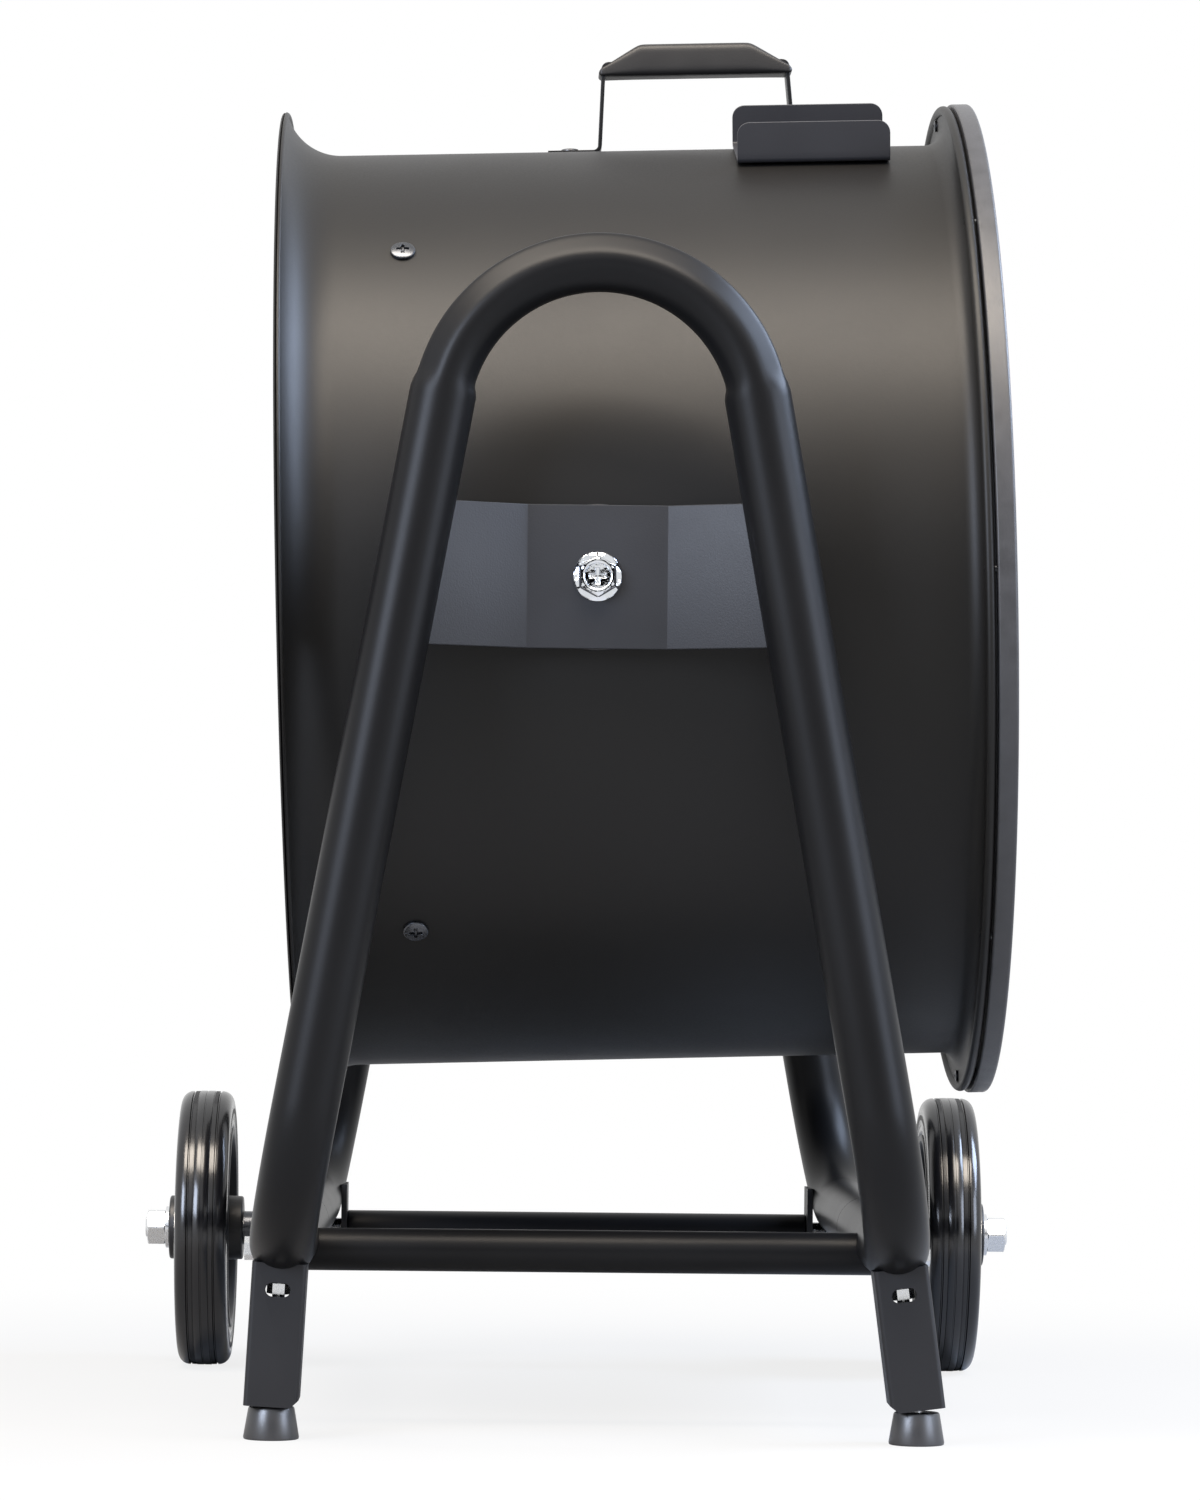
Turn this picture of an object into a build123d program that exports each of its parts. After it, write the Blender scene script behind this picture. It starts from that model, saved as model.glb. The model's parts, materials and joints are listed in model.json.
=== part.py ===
from build123d import *
from math import atan, cos, degrees, hypot, radians, sin, sqrt, tan
import os

# Drum fan on a wheeled tube stand. Millimetres, +Z up, floor at Z = 0.
# +X is the way the air blows, Y is the tilt axis of the drum, wheels are on +Y.
# The origin is the centre of the whole fan's footprint.

# ---------------------------------------------------------------- driving sizes
# Drum: a rolled steel shell with a flared inlet and a flanged outlet.
DRUM_D = 610.0
DRUM_WALL = 1.2
DRUM_BACK = 160.0            # pivot to the start of the inlet flare
DRUM_FRONT = 229.5           # pivot to the start of the outlet corner
FLARE_R = 37.0               # radius of the inlet flare
FLARE_ANGLE = 75.0
HEM_D = 4.5                  # rolled hem of the inlet flare
CORNER_R = 12.0              # corner between the drum and its outlet flange
FLANGE_W = 26.0              # how far the outlet flange stands out from the drum
BEAD_D = 6.5                 # rolled bead of the outlet flange
REST_TILT = 1.75             # front up, as the drum was left

# Guards: welded wire rings on radial spokes.
WIRE_D = 4.0
SPOKE_D = 5.0
SPOKES = 8
RINGS = 10
WELD_SINK = 0.9              # how deep a spoke and a ring are melted into each other
GUARD_CENTRE_D = 118.0
CENTRE_PLATE_T = 1.2
BAND_W = 12.3
BAND_T = 1.5
BAND_LIP = 18.0
BAND_GAP = 1.2               # shadow gap between the drum's bead and the guard band
REAR_GUARD_SINK = 19.0       # flare's start to the rear guard's rings
CLIPS = 4
CLIP_W = 14.0
CLIP_L = 38.0
CLIP_T = 2.0
CLIP_TIP = 1.0               # how far a hook's tip reaches past the ring's centre
GUARD_SCREWS = 8
GUARD_SCREW_D = 5.0
GUARD_HEAD_H = 2.5
GUARD_NUT_AF = 8.0
GUARD_NUT_H = 2.5

# Side frames: bent steel tube.
TUBE_D = 41.0
TUBE_WALL = 1.6
LEG_GAP = 53.0               # drum to each side frame's centre line
PIVOT_RISE = 415.5           # base tube centre to the tilt axis
LEG_HALF = 116.0             # half the leg spacing at the tilt axis
BASE_HALF = 191.0            # half the spacing of the base tubes
ARCH_R = 97.8
ELBOW_R = 90.0
SPIGOT_IN = 40.0
SPIGOT_OUT = 60.0
SPIGOT_WALL = 2.0
CROSS_D = 27.0
CROSS_WALL = 2.0
CROSS_IN = 158.0             # near side frame to the front cross tube
PLUG_L = 18.0                # threaded plug in each end of the front cross tube
CROSS_WASHER_D = 18.0
CROSS_WASHER_T = 1.2
JOINT_SCREW_REACH = 4.0      # joint screw's end past the spigot's wall

# Tilt joint.
PLATE_H = 89.0
PLATE_FLAT = 87.0
PLATE_T = 4.0
PAD_D = 93.0
PAD_T = 9.7                  # thinnest place of the saddle pad
STIFFENER_W = 130.0
STIFFENER_T = 2.5
BOLT_D = 14.0
BOLT_AF = 22.0
BOLT_FLANGE_D = 30.5
BOLT_FLANGE_T = 2.6
BOLT_HEAD_H = 9.5
BOLT_DISH = 1.6
BOLT_DISH_D = 15.8
BOLT_SLOT = 12.0
HEAD_FLAT = 0.8              # flat on a hexagon head's domed top
NUT_H = 7.0                  # thin nut, which clears the blades
BOLT_PROUD = 1.2

# Wheels and axle.
WHEEL_D = 198.0
WHEEL_W = 38.0
SPACER_L = 26.2
TYRE_T = 27.0
TYRE_CROWN = 2.5
GROOVE_W = 1.0
GROOVE_DEPTH = 1.8
GROOVE_IN = 5.6              # wheel's middle to its grooves
GROOVE_OUT = 9.3
RIM_T = 5.0
WEB_T = 6.0
BOSS_D = 46.0
BOSS_OUT = 26.5              # wheel centre to the boss's outer face
BOSS_IN = 26.5
HUB_RIBS = 6
HUB_RIB_W = 22.8
HUB_RIB_T = 3.0
BUSH_T = 3.0
AXLE_D = 16.0
AXLE_IN = 44.0               # far side frame to the axle
AXLE_CHAMFER = 1.0
SPACER_D = 24.0
WASHER_D = 30.0
WASHER_T = 2.7
AXLE_NUT_AF = 24.0
AXLE_NUT_H = 13.0
AXLE_PROUD = 1.5
NUT_DOME = 34.0              # radius of an axle nut's domed end
NUT_FLAT = 0.6
CHEEK_T = 4.0
BRACKET_L = 44.0
BRACKET_FLOOR = 16.0         # axle centre to the bracket's inner floor
AXLE_CLEAR = 4.5             # space between the axle and the elbow above it

# Front feet.
FOOT_IN = 68.0               # near side frame to the feet
FOOT_TOP_D = 28.5
FOOT_BASE_D = 34.6
FOOT_H = 20.0
FOOT_LIP = 1.5
LEG_W = 34.0
LEG_SHEET = 3.0
LEG_CHAMFER = 7.0
LEAN_REAR = 3.0              # outward lean of the rear foot leg
LEAN_FRONT = 7.5
STUD_D = 8.0
STUD_NUT_AF = 13.0
STUD_NUT_H = 6.5
STUD_PROUD = 3.0
WINDOW_W = 15.5
WINDOW_H = 8.6
FOOT_SCREW_D = 6.0
FOOT_NUT_AF = 10.0
FOOT_NUT_H = 5.0
FOOT_NUT_PROUD = 2.0
FOOT_HEAD_D = 12.0
FOOT_HEAD_H = 3.0
FOOT_RECESS = 6.0
FOOT_RECESS_D = 14.0
FOOT_HOLE_D = 8.0            # wide enough for an upright screw in a leaning leg

# Handle and cord bracket.
GRIP_REAR = 15.0             # pivot to the rear end of the grip
GRIP_L = 127.0
GRIP_TOP_L = 75.0
GRIP_H = 22.0
GRIP_W = 26.0
GRIP_RISE = 52.0             # drum to the grip's underside
GRIP_LIP = 1.5
GRIP_END_H = 5.0
GRIP_EDGE = 3.0
STRAP_W = 22.0
STRAP_T = 2.5
STRAP_FOOT = 33.5
STRAP_LEAN = 3.5             # how far out each strap leg stands at the drum
STRAP_RIVET = 18.7           # strap leg to its rivet
RIVET_D = 6.0
RIVET_HEAD_D = 12.0
RIVET_HEAD_H = 2.6
RIVET_TAIL_D = 9.6
RIVET_TAIL_H = 3.0
CRADLE_X = 150.5             # pivot to the middle of the cord bracket
CRADLE_L = 100.0
CRADLE_W = 75.0
CRADLE_H = 27.0
CRADLE_T = 2.0
CRADLE_ANGLE = 17.0          # from the top of the drum, towards -Y
CRADLE_CORNER = 8.0

# Motor and blades, all on the drum's axis.
MOUNT_X = -118.0             # plane of the motor mount and its drum screws
MOUNT_W = 30.0
MOUNT_T = 4.0
MOUNT_FOOT = 32.0
ARMS = 4
ARM_ANGLE = 45.0             # from the top of the drum to the first arm
ARM_SIDE = 12.0              # each arm stands beside its screw
SCREW_D = 6.0
SCREW_HEAD_D = 16.0
SCREW_HEAD_H = 3.4
SCREW_NUT_AF = 10.0
SCREW_NUT_H = 5.0
SCREW_PROUD = 2.0
RECESS_W = 1.6
RECESS_SHARE = 0.5           # recess's length over its head's width
MOTOR_D = 150.0
MOTOR_WALL = 3.0
MOTOR_L = 110.0              # housing between the end bells
MOTOR_BACK = -155.0
BELL_T = 18.0
BELL_WALL = 4.0
STATOR_L = 46.0
STATOR_BORE = 84.0
WINDING_L = 16.0
WINDING_T = 16.0
AIR_GAP = 0.5
SHAFT_D = 16.0
SHAFT_BACK = 8.0
SHAFT_FRONT = 4.0
BELL_CLEAR = 1.0             # end bell round the shaft
BEARING_D = 35.0
BEARING_W = 11.0
HUB_D = 92.0
HUB_L = 44.0
HUB_GAP = 16.0               # motor's front bell to the blade hub
HUB_EDGE = 5.0
SET_SCREW_D = 8.0
SET_SCREW_L = 14.0
SET_SCREW_IN = 10.0          # hub's back to its set screw
SOCKET_AF = 4.0
SOCKET_L = 5.0
BLADES = 4
BLADE_T = 2.5
BLADE_ROOT = 92.0
BLADE_TIP = 176.0
BLADE_TURN = 22.5
ROOT_ANGLE = 42.0            # blade's pitch at its root and its tip
TIP_ANGLE = 22.0
TIP_GAP = 13.0               # blade tip to the drum's inner wall

# Switch box, on the drum's far upper side.
BOX_L = 120.0
BOX_W = 84.0
BOX_H = 44.0
BOX_T = 2.5
BOX_X = -25.0
BOX_ANGLE = -45.0
BOX_FEET = 5.0               # feet that stand the flat box off the round drum
BOX_FOOT_D = 18.0
BOX_RIVET_IN = 12.0          # box's end to its rivet
SWITCH_L = 32.0
SWITCH_H = 24.0
SPINDLE_D = 6.0
KNOB_D = 36.0
KNOB_H = 17.0
KNOB_EDGE = 1.5
KNOB_BAR_L = 32.4
KNOB_BAR_W = 11.5
KNOB_BAR_R = 4.0
POINTER_L = 10.8
KNOB_X = 22.0                # box's middle to the knob
KNOB_Y = -15.0
POST_D = 9.0
LID_SCREW_D = 4.0
LID_HEAD_H = 2.0
BOX_CORNER = 6.0
CAPACITOR_D = 30.0
CAPACITOR_L = 58.0
CAPACITOR_GAP = 5.0
GLAND_D = 20.0
GLAND_L = 16.0
GLAND_WALL = 2.0
GLAND_AF = 23.0
GLAND_HEX_H = 5.0
GLAND_THREAD = 8.5           # thread through the wall and the lock nut
GLAND_NUT_H = 4.0
GLAND_UP = 29.0              # high enough for the cord to clear the drum's hem
LEAD_D = 7.0
LEAD_GAP = 1.5               # motor lead to the head of the box's rear rivet

# Fits.
RUN = 0.05                   # radial clearance of a running shaft
FIT = 0.2                    # radial clearance of a bolt or a spigot in its hole
SKIN = 0.3                   # clearance between surfaces that move past each other
CUT = 1.0                    # how far a cut runs past the surface that it opens

# ---------------------------------------------------------------- worked out
DRUM_R = DRUM_D / 2
DRUM_IN = DRUM_R - DRUM_WALL
TUBE_R = TUBE_D / 2
LEG_PLANE = DRUM_R + LEG_GAP
FLANGE_R = DRUM_R + FLANGE_W
FLANGE_X = DRUM_FRONT + CORNER_R
BEAD_X = FLANGE_X + DRUM_WALL / 2
BAND_X = BEAD_X + BEAD_D / 2 + BAND_GAP
BAND_R = FLANGE_R + 1.0

AXLE_Y = LEG_PLANE - AXLE_IN
FOOT_Y = LEG_PLANE - FOOT_IN
CROSS_Y = LEG_PLANE - CROSS_IN
AXLE_Z = WHEEL_D / 2
ELBOW_START = LEG_PLANE - ELBOW_R
SLOPE = (BASE_HALF - LEG_HALF) / PIVOT_RISE
LEG_ANGLE = degrees(atan(SLOPE))


def elbow_rise(y):
    """How far the tube's centre line has risen at a distance y from the tilt centre."""
    along = max(0.0, y - ELBOW_START)
    return (ELBOW_R - sqrt(ELBOW_R ** 2 - along ** 2)) * cos(radians(LEG_ANGLE))


BASE_Z = AXLE_Z + AXLE_D / 2 + AXLE_CLEAR + TUBE_R - elbow_rise(AXLE_Y)
PIVOT_Z = BASE_Z + PIVOT_RISE
PIVOT_Y = (LEG_PLANE + TUBE_R - AXLE_Y - WHEEL_D / 2) / 2
APEX_Z = PIVOT_Z + LEG_HALF / SLOPE
CROSS_Z = BASE_Z - TUBE_R + CROSS_D / 2
PAD_FACE = DRUM_R + PAD_T
PLATE_IN = PAD_FACE + SKIN
PLATE_OUT = PLATE_IN + PLATE_T
CHEEK_OUT = BASE_HALF + TUBE_R + CHEEK_T
CHEEK_IN = BASE_HALF - TUBE_R - CHEEK_T
WHEEL_X = CHEEK_OUT + SPACER_L + SKIN + BOSS_IN
BOSS_END = WHEEL_X + BOSS_OUT
MOTOR_FRONT = MOTOR_BACK + MOTOR_L
BELL_FRONT = MOTOR_FRONT + BELL_T
BELL_BACK = MOTOR_BACK - BELL_T
HUB_BACK = BELL_FRONT + HUB_GAP
REAR_GUARD_X = -DRUM_BACK - REAR_GUARD_SINK
GUARD_X = BAND_X + BAND_T + WIRE_D / 2
SPOKE_OFFSET = (WIRE_D + SPOKE_D) / 2 - WELD_SINK
BOX_BASE = DRUM_R + BOX_FEET
GRIP_LOW = DRUM_R + GRIP_RISE
BAR_LOW = GRIP_LOW + GRIP_H / 3
LEAD_X = BOX_X - BOX_L / 2 + BOX_RIVET_IN + (RIVET_HEAD_D + LEAD_D) / 2 + LEAD_GAP

FRAME = Pos(0, PIVOT_Y, 0)
DRUM = Pos(0, PIVOT_Y, PIVOT_Z) * Rot(0, -REST_TILT, 0)
NEAR, FAR = -1, 1
REAR, FRONT = -1, 1


# ---------------------------------------------------------------- small helpers
def group(items):
    """Separate solids that share one node."""
    return Compound([s for item in items for s in item.solids()])


def along_x(x0, x1, radius, bore=0.0):
    """A cylinder or tube about the X axis, from x0 to x1."""
    shape = Circle(radius) - Circle(bore) if bore else Circle(radius)
    return Pos(x0, 0, 0) * extrude(Plane.YZ * shape, x1 - x0)


def upright(z0, z1, radius, bore=0.0):
    """A cylinder or tube about the Z axis, from z0 to z1."""
    shape = Circle(radius) - Circle(bore) if bore else Circle(radius)
    return Pos(0, 0, z0) * extrude(shape, z1 - z0)


def hexagon(flats, z0, z1, bore=0.0):
    """A hexagon nut or head about the Z axis, flats apart, from z0 to z1."""
    shape = RegularPolygon(flats / 2, 6, major_radius=False)
    shape = shape - Circle(bore) if bore else shape
    return Pos(0, 0, z0) * extrude(shape, z1 - z0)


def dome(top, radius, flat=0.0):
    """A ball that reaches to a height, or further, so that a flat is left at that height."""
    return Pos(0, 0, top - radius) * Sphere(radius + flat)


def turned(points):
    """A solid of revolution about the X axis from (x, r) points."""
    return revolve(make_face(Plane.XZ * Polyline(*points, close=True)), Axis.X)


def on_drum(angle, x, r=0.0):
    """Places +Z outwards on the drum, at an angle from its top towards -Y."""
    return Rot(angle, 0, 0) * Pos(x, 0, r)


def pan_screw(length, head_d=SCREW_HEAD_D, head_h=SCREW_HEAD_H, shank_d=SCREW_D):
    """A pan head screw with a cross recess: head above Z = 0, shank below."""
    head = upright(0, head_h, head_d / 2) & dome(head_h, head_d)
    slot = head_d * RECESS_SHARE
    recess = Pos(0, 0, head_h) * (Box(slot, RECESS_W, head_h) + Box(RECESS_W, slot, head_h))
    return (head - recess) + upright(-length, 0, shank_d / 2)


# ---------------------------------------------------------------- side frames
def frame_path(side):
    """Centre line of a side frame: joint, elbow, leg, arch, leg, elbow, joint."""
    y = side * LEG_PLANE
    return FilletPolyline(
        (-BASE_HALF, 0, BASE_Z), (-BASE_HALF, y, BASE_Z), (0, y, APEX_Z),
        (BASE_HALF, y, BASE_Z), (BASE_HALF, 0, BASE_Z),
        radius=[ELBOW_R, ARCH_R, ELBOW_R])


def swept_tube(path, radius, bore=0.0):
    start = Plane(origin=path @ 0, z_dir=path % 0)
    shape = Circle(radius) - Circle(bore) if bore else Circle(radius)
    return sweep(start * shape, path=path)


def joint_bore(side_x):
    """Hole under the joint for its screw."""
    y = SPIGOT_OUT / 2
    return Pos(side_x * BASE_HALF, y, BASE_Z) * upright(-TUBE_D, 0, SCREW_D / 2 + FIT)


def spigot(side_x):
    """Reduced end of the near frame, which plugs into the far frame."""
    bore = TUBE_R - TUBE_WALL
    inner = bore - FIT - SPIGOT_WALL
    held = Circle(bore) - Circle(inner)
    loose = Circle(bore - FIT) - Circle(inner)
    solid = extrude(Plane.XZ * held, SPIGOT_IN) + extrude(Plane.XZ * loose, -SPIGOT_OUT)
    return Pos(side_x * BASE_HALF, 0, BASE_Z) * solid


def bar_hole(side_x, y, z, radius):
    """A hole through one base tube, along X."""
    return Pos(side_x * BASE_HALF, y, z) * along_x(-TUBE_D, TUBE_D, radius)


def side_frame(side):
    frame = swept_tube(frame_path(side), TUBE_R, TUBE_R - TUBE_WALL)
    for side_x in (REAR, FRONT):
        if side == NEAR:
            frame += spigot(side_x)
            frame -= bar_hole(side_x, -CROSS_Y, CROSS_Z, STUD_D / 2 + FIT)
        frame -= joint_bore(side_x)
    return frame


def joint_screws():
    screw = Rot(180, 0, 0) * pan_screw(TUBE_WALL + SPIGOT_WALL + JOINT_SCREW_REACH)
    y = SPIGOT_OUT / 2
    return group(Pos(s * BASE_HALF, y, BASE_Z - TUBE_R) * screw for s in (REAR, FRONT))


def front_cross_tube():
    """Butts on the base tubes, with a threaded plug welded in each end."""
    tube = along_x(-BASE_HALF, BASE_HALF, CROSS_D / 2, CROSS_D / 2 - CROSS_WALL)
    face = CHEEK_IN + CHEEK_T
    for s in (REAR, FRONT):
        ends = sorted((s * (face - PLUG_L), s * BASE_HALF))
        tube += along_x(*ends, CROSS_D / 2 - CROSS_WALL)
        tube -= along_x(*ends, STUD_D / 2)
    tube = Pos(0, -CROSS_Y, CROSS_Z) * tube
    for s in (REAR, FRONT):
        tube -= Pos(s * BASE_HALF, 0, BASE_Z) * Rot(90, 0, 0) * upright(-LEG_PLANE, LEG_PLANE, TUBE_R)
    return tube


def cross_tube_bolts():
    """Hexagon bolts from outside the base tubes into the cross tube's plugs."""
    reach = TUBE_D + PLUG_L - 2 * CUT
    bolt = hexagon(STUD_NUT_AF, 0, STUD_NUT_H) + upright(-reach, 0, STUD_D / 2)
    bolt += upright(0, CROSS_WASHER_T, CROSS_WASHER_D / 2)
    face = BASE_HALF + TUBE_R
    return group(Pos(s * face, -CROSS_Y, CROSS_Z) * Rot(0, s * 90, 0) * bolt for s in (REAR, FRONT))


# ---------------------------------------------------------------- axle and wheels
def axle_tube():
    tube = along_x(-CHEEK_IN, CHEEK_IN, CROSS_D / 2, AXLE_D / 2 + FIT)
    return Pos(0, AXLE_Y, AXLE_Z) * tube


def axle_bracket(side_x):
    """A bent saddle, welded to both sides of the elbow, that carries the axle."""
    width = CHEEK_OUT - CHEEK_IN
    low = AXLE_Z - BRACKET_FLOOR - CHEEK_T
    high = BASE_Z + elbow_rise(AXLE_Y)
    outer = Pos(0, 0, (low + high) / 2) * Box(width, BRACKET_L, high - low)
    outer = fillet(outer.edges().filter_by(Axis.Y).group_by(Axis.Z)[0], 2 * CHEEK_T)
    inside = width - 2 * CHEEK_T
    gap = Pos(0, 0, AXLE_Z - BRACKET_FLOOR + TUBE_D) * Box(inside, 2 * BRACKET_L, 2 * TUBE_D)
    bracket = outer - fillet(gap.edges().filter_by(Axis.Y).group_by(Axis.Z)[0], CHEEK_T)
    bracket -= Pos(0, 0, AXLE_Z) * along_x(-width, width, AXLE_D / 2 + FIT)
    bracket = Pos(side_x * BASE_HALF, AXLE_Y, 0) * bracket
    return bracket - swept_tube(frame_path(FAR), TUBE_R)


def axle_rod():
    end = BOSS_END + SKIN + WASHER_T + AXLE_NUT_H + AXLE_PROUD
    rod = chamfer(along_x(-end, end, AXLE_D / 2).edges(), AXLE_CHAMFER)
    return Pos(0, AXLE_Y, AXLE_Z) * rod


def axle_ring(side_x, x0, x1, radius, bore):
    a, b = sorted((side_x * x0, side_x * x1))
    return Pos(0, AXLE_Y, AXLE_Z) * along_x(a, b, radius, bore)


def axle_spacers():
    inner = WHEEL_X - BOSS_IN - SKIN
    return group(axle_ring(s, CHEEK_OUT, inner, SPACER_D / 2, AXLE_D / 2 + FIT) for s in (REAR, FRONT))


def axle_nuts():
    """Washers and nuts on the ends of the axle."""
    x = BOSS_END + SKIN
    nut = hexagon(AXLE_NUT_AF, WASHER_T, WASHER_T + AXLE_NUT_H, AXLE_D / 2)
    nut &= dome(WASHER_T + AXLE_NUT_H, NUT_DOME, NUT_FLAT)
    washer = upright(0, WASHER_T, WASHER_D / 2, AXLE_D / 2 + FIT)
    places = [Pos(s * x, AXLE_Y, AXLE_Z) * Rot(0, s * 90, 0) for s in (REAR, FRONT)]
    return group(place * part for place in places for part in (nut, washer))


def wheel_place(side_x):
    return Pos(side_x * WHEEL_X, AXLE_Y, AXLE_Z) * Rot(0, 0, 90 * (1 - side_x))


def tyre(side_x):
    """Solid rubber tyre with a crowned tread and two grooves on each side of its rib."""
    r, h = WHEEL_D / 2, WHEEL_W / 2
    seat = r - TYRE_T
    ring = turned([(-h, seat), (-h, r - 3 * TYRE_CROWN), (-h + TYRE_CROWN, r - TYRE_CROWN),
                   (-h / 2, r), (h / 2, r), (h - TYRE_CROWN, r - TYRE_CROWN),
                   (h, r - 3 * TYRE_CROWN), (h, seat)])
    for x in (-GROOVE_OUT, -GROOVE_IN, GROOVE_IN, GROOVE_OUT):
        ring -= along_x(x - GROOVE_W / 2, x + GROOVE_W / 2, r + CUT, r - GROOVE_DEPTH)
    return wheel_place(side_x) * ring


def wheel_hub(side_x):
    """Moulded wheel centre: rim, dished web and a boss for the bush."""
    seat, h = WHEEL_D / 2 - TYRE_T, WHEEL_W / 2
    rim = along_x(-h, h, seat, seat - RIM_T)
    web = along_x(-WEB_T / 2, WEB_T / 2, seat - RIM_T)
    boss = along_x(-BOSS_IN, BOSS_OUT, BOSS_D / 2)
    hub = rim + web + boss
    low, high = BOSS_D / 4, seat - RIM_T
    rib = Pos(0, 0, (low + high) / 2) * Box(HUB_RIB_W, HUB_RIB_T, high - low)
    for k in range(HUB_RIBS):
        hub += Rot(360 / HUB_RIBS * k, 0, 0) * rib
    hub -= along_x(-BOSS_IN, BOSS_OUT, AXLE_D / 2 + RUN + BUSH_T)
    return wheel_place(side_x) * hub


def wheel_bush(side_x):
    bush = along_x(-BOSS_IN, BOSS_OUT, AXLE_D / 2 + RUN + BUSH_T, AXLE_D / 2 + RUN)
    return wheel_place(side_x) * bush


# ---------------------------------------------------------------- front feet
def lean_of(side_x):
    return LEAN_FRONT if side_x == FRONT else LEAN_REAR


def leg_length(side_x):
    """Tube centre to the leg's sole, so that its low side rests on the foot."""
    lean = radians(lean_of(side_x))
    return (BASE_Z - FOOT_H - FOOT_TOP_D / 2 * sin(lean)) / cos(lean)


def leg_place(side_x):
    return Pos(side_x * BASE_HALF, -FOOT_Y, BASE_Z) * Rot(0, -side_x * lean_of(side_x), 0)


def sole_point(side_x):
    """Centre of the leg's sole, which is the middle of its foot."""
    lean = radians(lean_of(side_x))
    out = leg_length(side_x) * sin(lean)
    return side_x * (BASE_HALF + out), BASE_Z - leg_length(side_x) * cos(lean)


def foot_leg(side_x):
    """A folded steel leg, open at its back, with a window at its stud's nut."""
    length = leg_length(side_x)
    top = -TUBE_R / 2
    block = Pos(0, 0, (top - length) / 2) * Box(LEG_W, LEG_W, length + top)
    block = fillet(block.edges().filter_by(Axis.Z).group_by(Axis.Y)[0], LEG_SHEET)
    hollow = Pos(0, LEG_SHEET, (top - length) / 2 + LEG_SHEET) * Box(
        LEG_W - 2 * LEG_SHEET, LEG_W, length + top)
    leg = block - hollow
    inside = LEG_W - LEG_SHEET
    leg += Pos(0, LEG_SHEET / 2, -TUBE_R - LEG_SHEET / 2) * Box(inside, inside, LEG_SHEET)
    inner = -side_x * LEG_W / 2
    cut = Pos(inner, 0, -length) * Rot(0, 45, 0) * Box(LEG_CHAMFER, 2 * LEG_W, LEG_CHAMFER)
    leg -= cut
    window_z = -TUBE_R - LEG_SHEET - STUD_NUT_H / 2
    leg -= Pos(0, 0, window_z) * extrude(Plane.XZ * SlotOverall(WINDOW_W, WINDOW_H), LEG_W)
    leg -= Pos(0, 0, -TUBE_R - LEG_SHEET) * upright(-CUT, LEG_SHEET + CUT, STUD_D / 2 + FIT)
    leg -= Pos(0, 0, -length) * upright(-CUT, LEG_SHEET + CUT, FOOT_HOLE_D / 2)
    return leg_place(side_x) * leg - swept_tube(frame_path(NEAR), TUBE_R)


def foot_studs():
    """Studs welded under the elbows, each with the nut that holds its foot leg."""
    top = -TUBE_R - LEG_SHEET
    stud = upright(top - STUD_NUT_H - STUD_PROUD, 0, STUD_D / 2)
    nut = hexagon(STUD_NUT_AF, top - STUD_NUT_H, top, STUD_D / 2)
    tube = swept_tube(frame_path(NEAR), TUBE_R)
    parts = [leg_place(s) * stud - tube for s in (REAR, FRONT)]
    return group(parts + [leg_place(s) * nut for s in (REAR, FRONT)])


def rubber_foot(side_x):
    x, _ = sole_point(side_x)
    r0, r1 = FOOT_BASE_D / 2, FOOT_TOP_D / 2
    profile = Polyline((0, 0), (r0, 0), (r0, FOOT_LIP), (r1, FOOT_H), (0, FOOT_H), close=True)
    foot = revolve(make_face(Plane.XZ * profile), Axis.Z)
    foot -= upright(0, FOOT_RECESS, FOOT_RECESS_D / 2)
    foot -= upright(0, FOOT_H, FOOT_SCREW_D / 2 + FIT)
    return Pos(x, -FOOT_Y, 0) * foot


def foot_screws():
    """Screws and nuts that hold the rubber feet under the legs."""
    head = upright(FOOT_RECESS - FOOT_HEAD_H, FOOT_RECESS, FOOT_HEAD_D / 2)
    parts = []
    for s in (REAR, FRONT):
        x, z = sole_point(s)
        lean = radians(lean_of(s))
        low = z + LEG_SHEET / cos(lean) + FOOT_NUT_AF / sqrt(3) * tan(lean)
        shank = upright(FOOT_RECESS, low + FOOT_NUT_H + FOOT_NUT_PROUD, FOOT_SCREW_D / 2)
        nut = hexagon(FOOT_NUT_AF, low, low + FOOT_NUT_H, FOOT_SCREW_D / 2)
        parts += [Pos(x, -FOOT_Y, 0) * (head + shank), Pos(x, -FOOT_Y, 0) * nut]
    return group(parts)


# ---------------------------------------------------------------- tilt joint
def facing(side, y=0.0):
    """Places +Z outwards along the tilt axis, on the near or far side."""
    return Pos(0, side * y, 0) * Rot(-90 * side, 0, 0)


def pivot_plate(side):
    """A folded plate: flat in the middle, its wings welded to the legs."""
    half = PLATE_FLAT / 2
    run, step = LEG_HALF - half, LEG_PLANE - PLATE_OUT
    wing = hypot(run, step)
    fold = half + PLATE_T * (wing - run) / step
    end_x, end_y = LEG_HALF + PLATE_T * step / wing, LEG_PLANE - PLATE_T * run / wing
    outer = [(-LEG_HALF, LEG_PLANE), (-half, PLATE_OUT), (half, PLATE_OUT), (LEG_HALF, LEG_PLANE)]
    inner = [(end_x, end_y), (fold, PLATE_IN), (-fold, PLATE_IN), (-end_x, end_y)]
    sheet = extrude(make_face(Polyline(*outer, *inner, close=True)), PLATE_H / 2, both=True)
    if side == NEAR:
        sheet = sheet.mirror(Plane.XZ)
    plate = Pos(0, 0, PIVOT_Z) * sheet
    bore = facing(side, PLATE_IN) * upright(-PLATE_T, 2 * PLATE_T, BOLT_D / 2 + RUN)
    plate -= Pos(0, 0, PIVOT_Z) * bore
    return plate - swept_tube(frame_path(side), TUBE_R)


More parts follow.
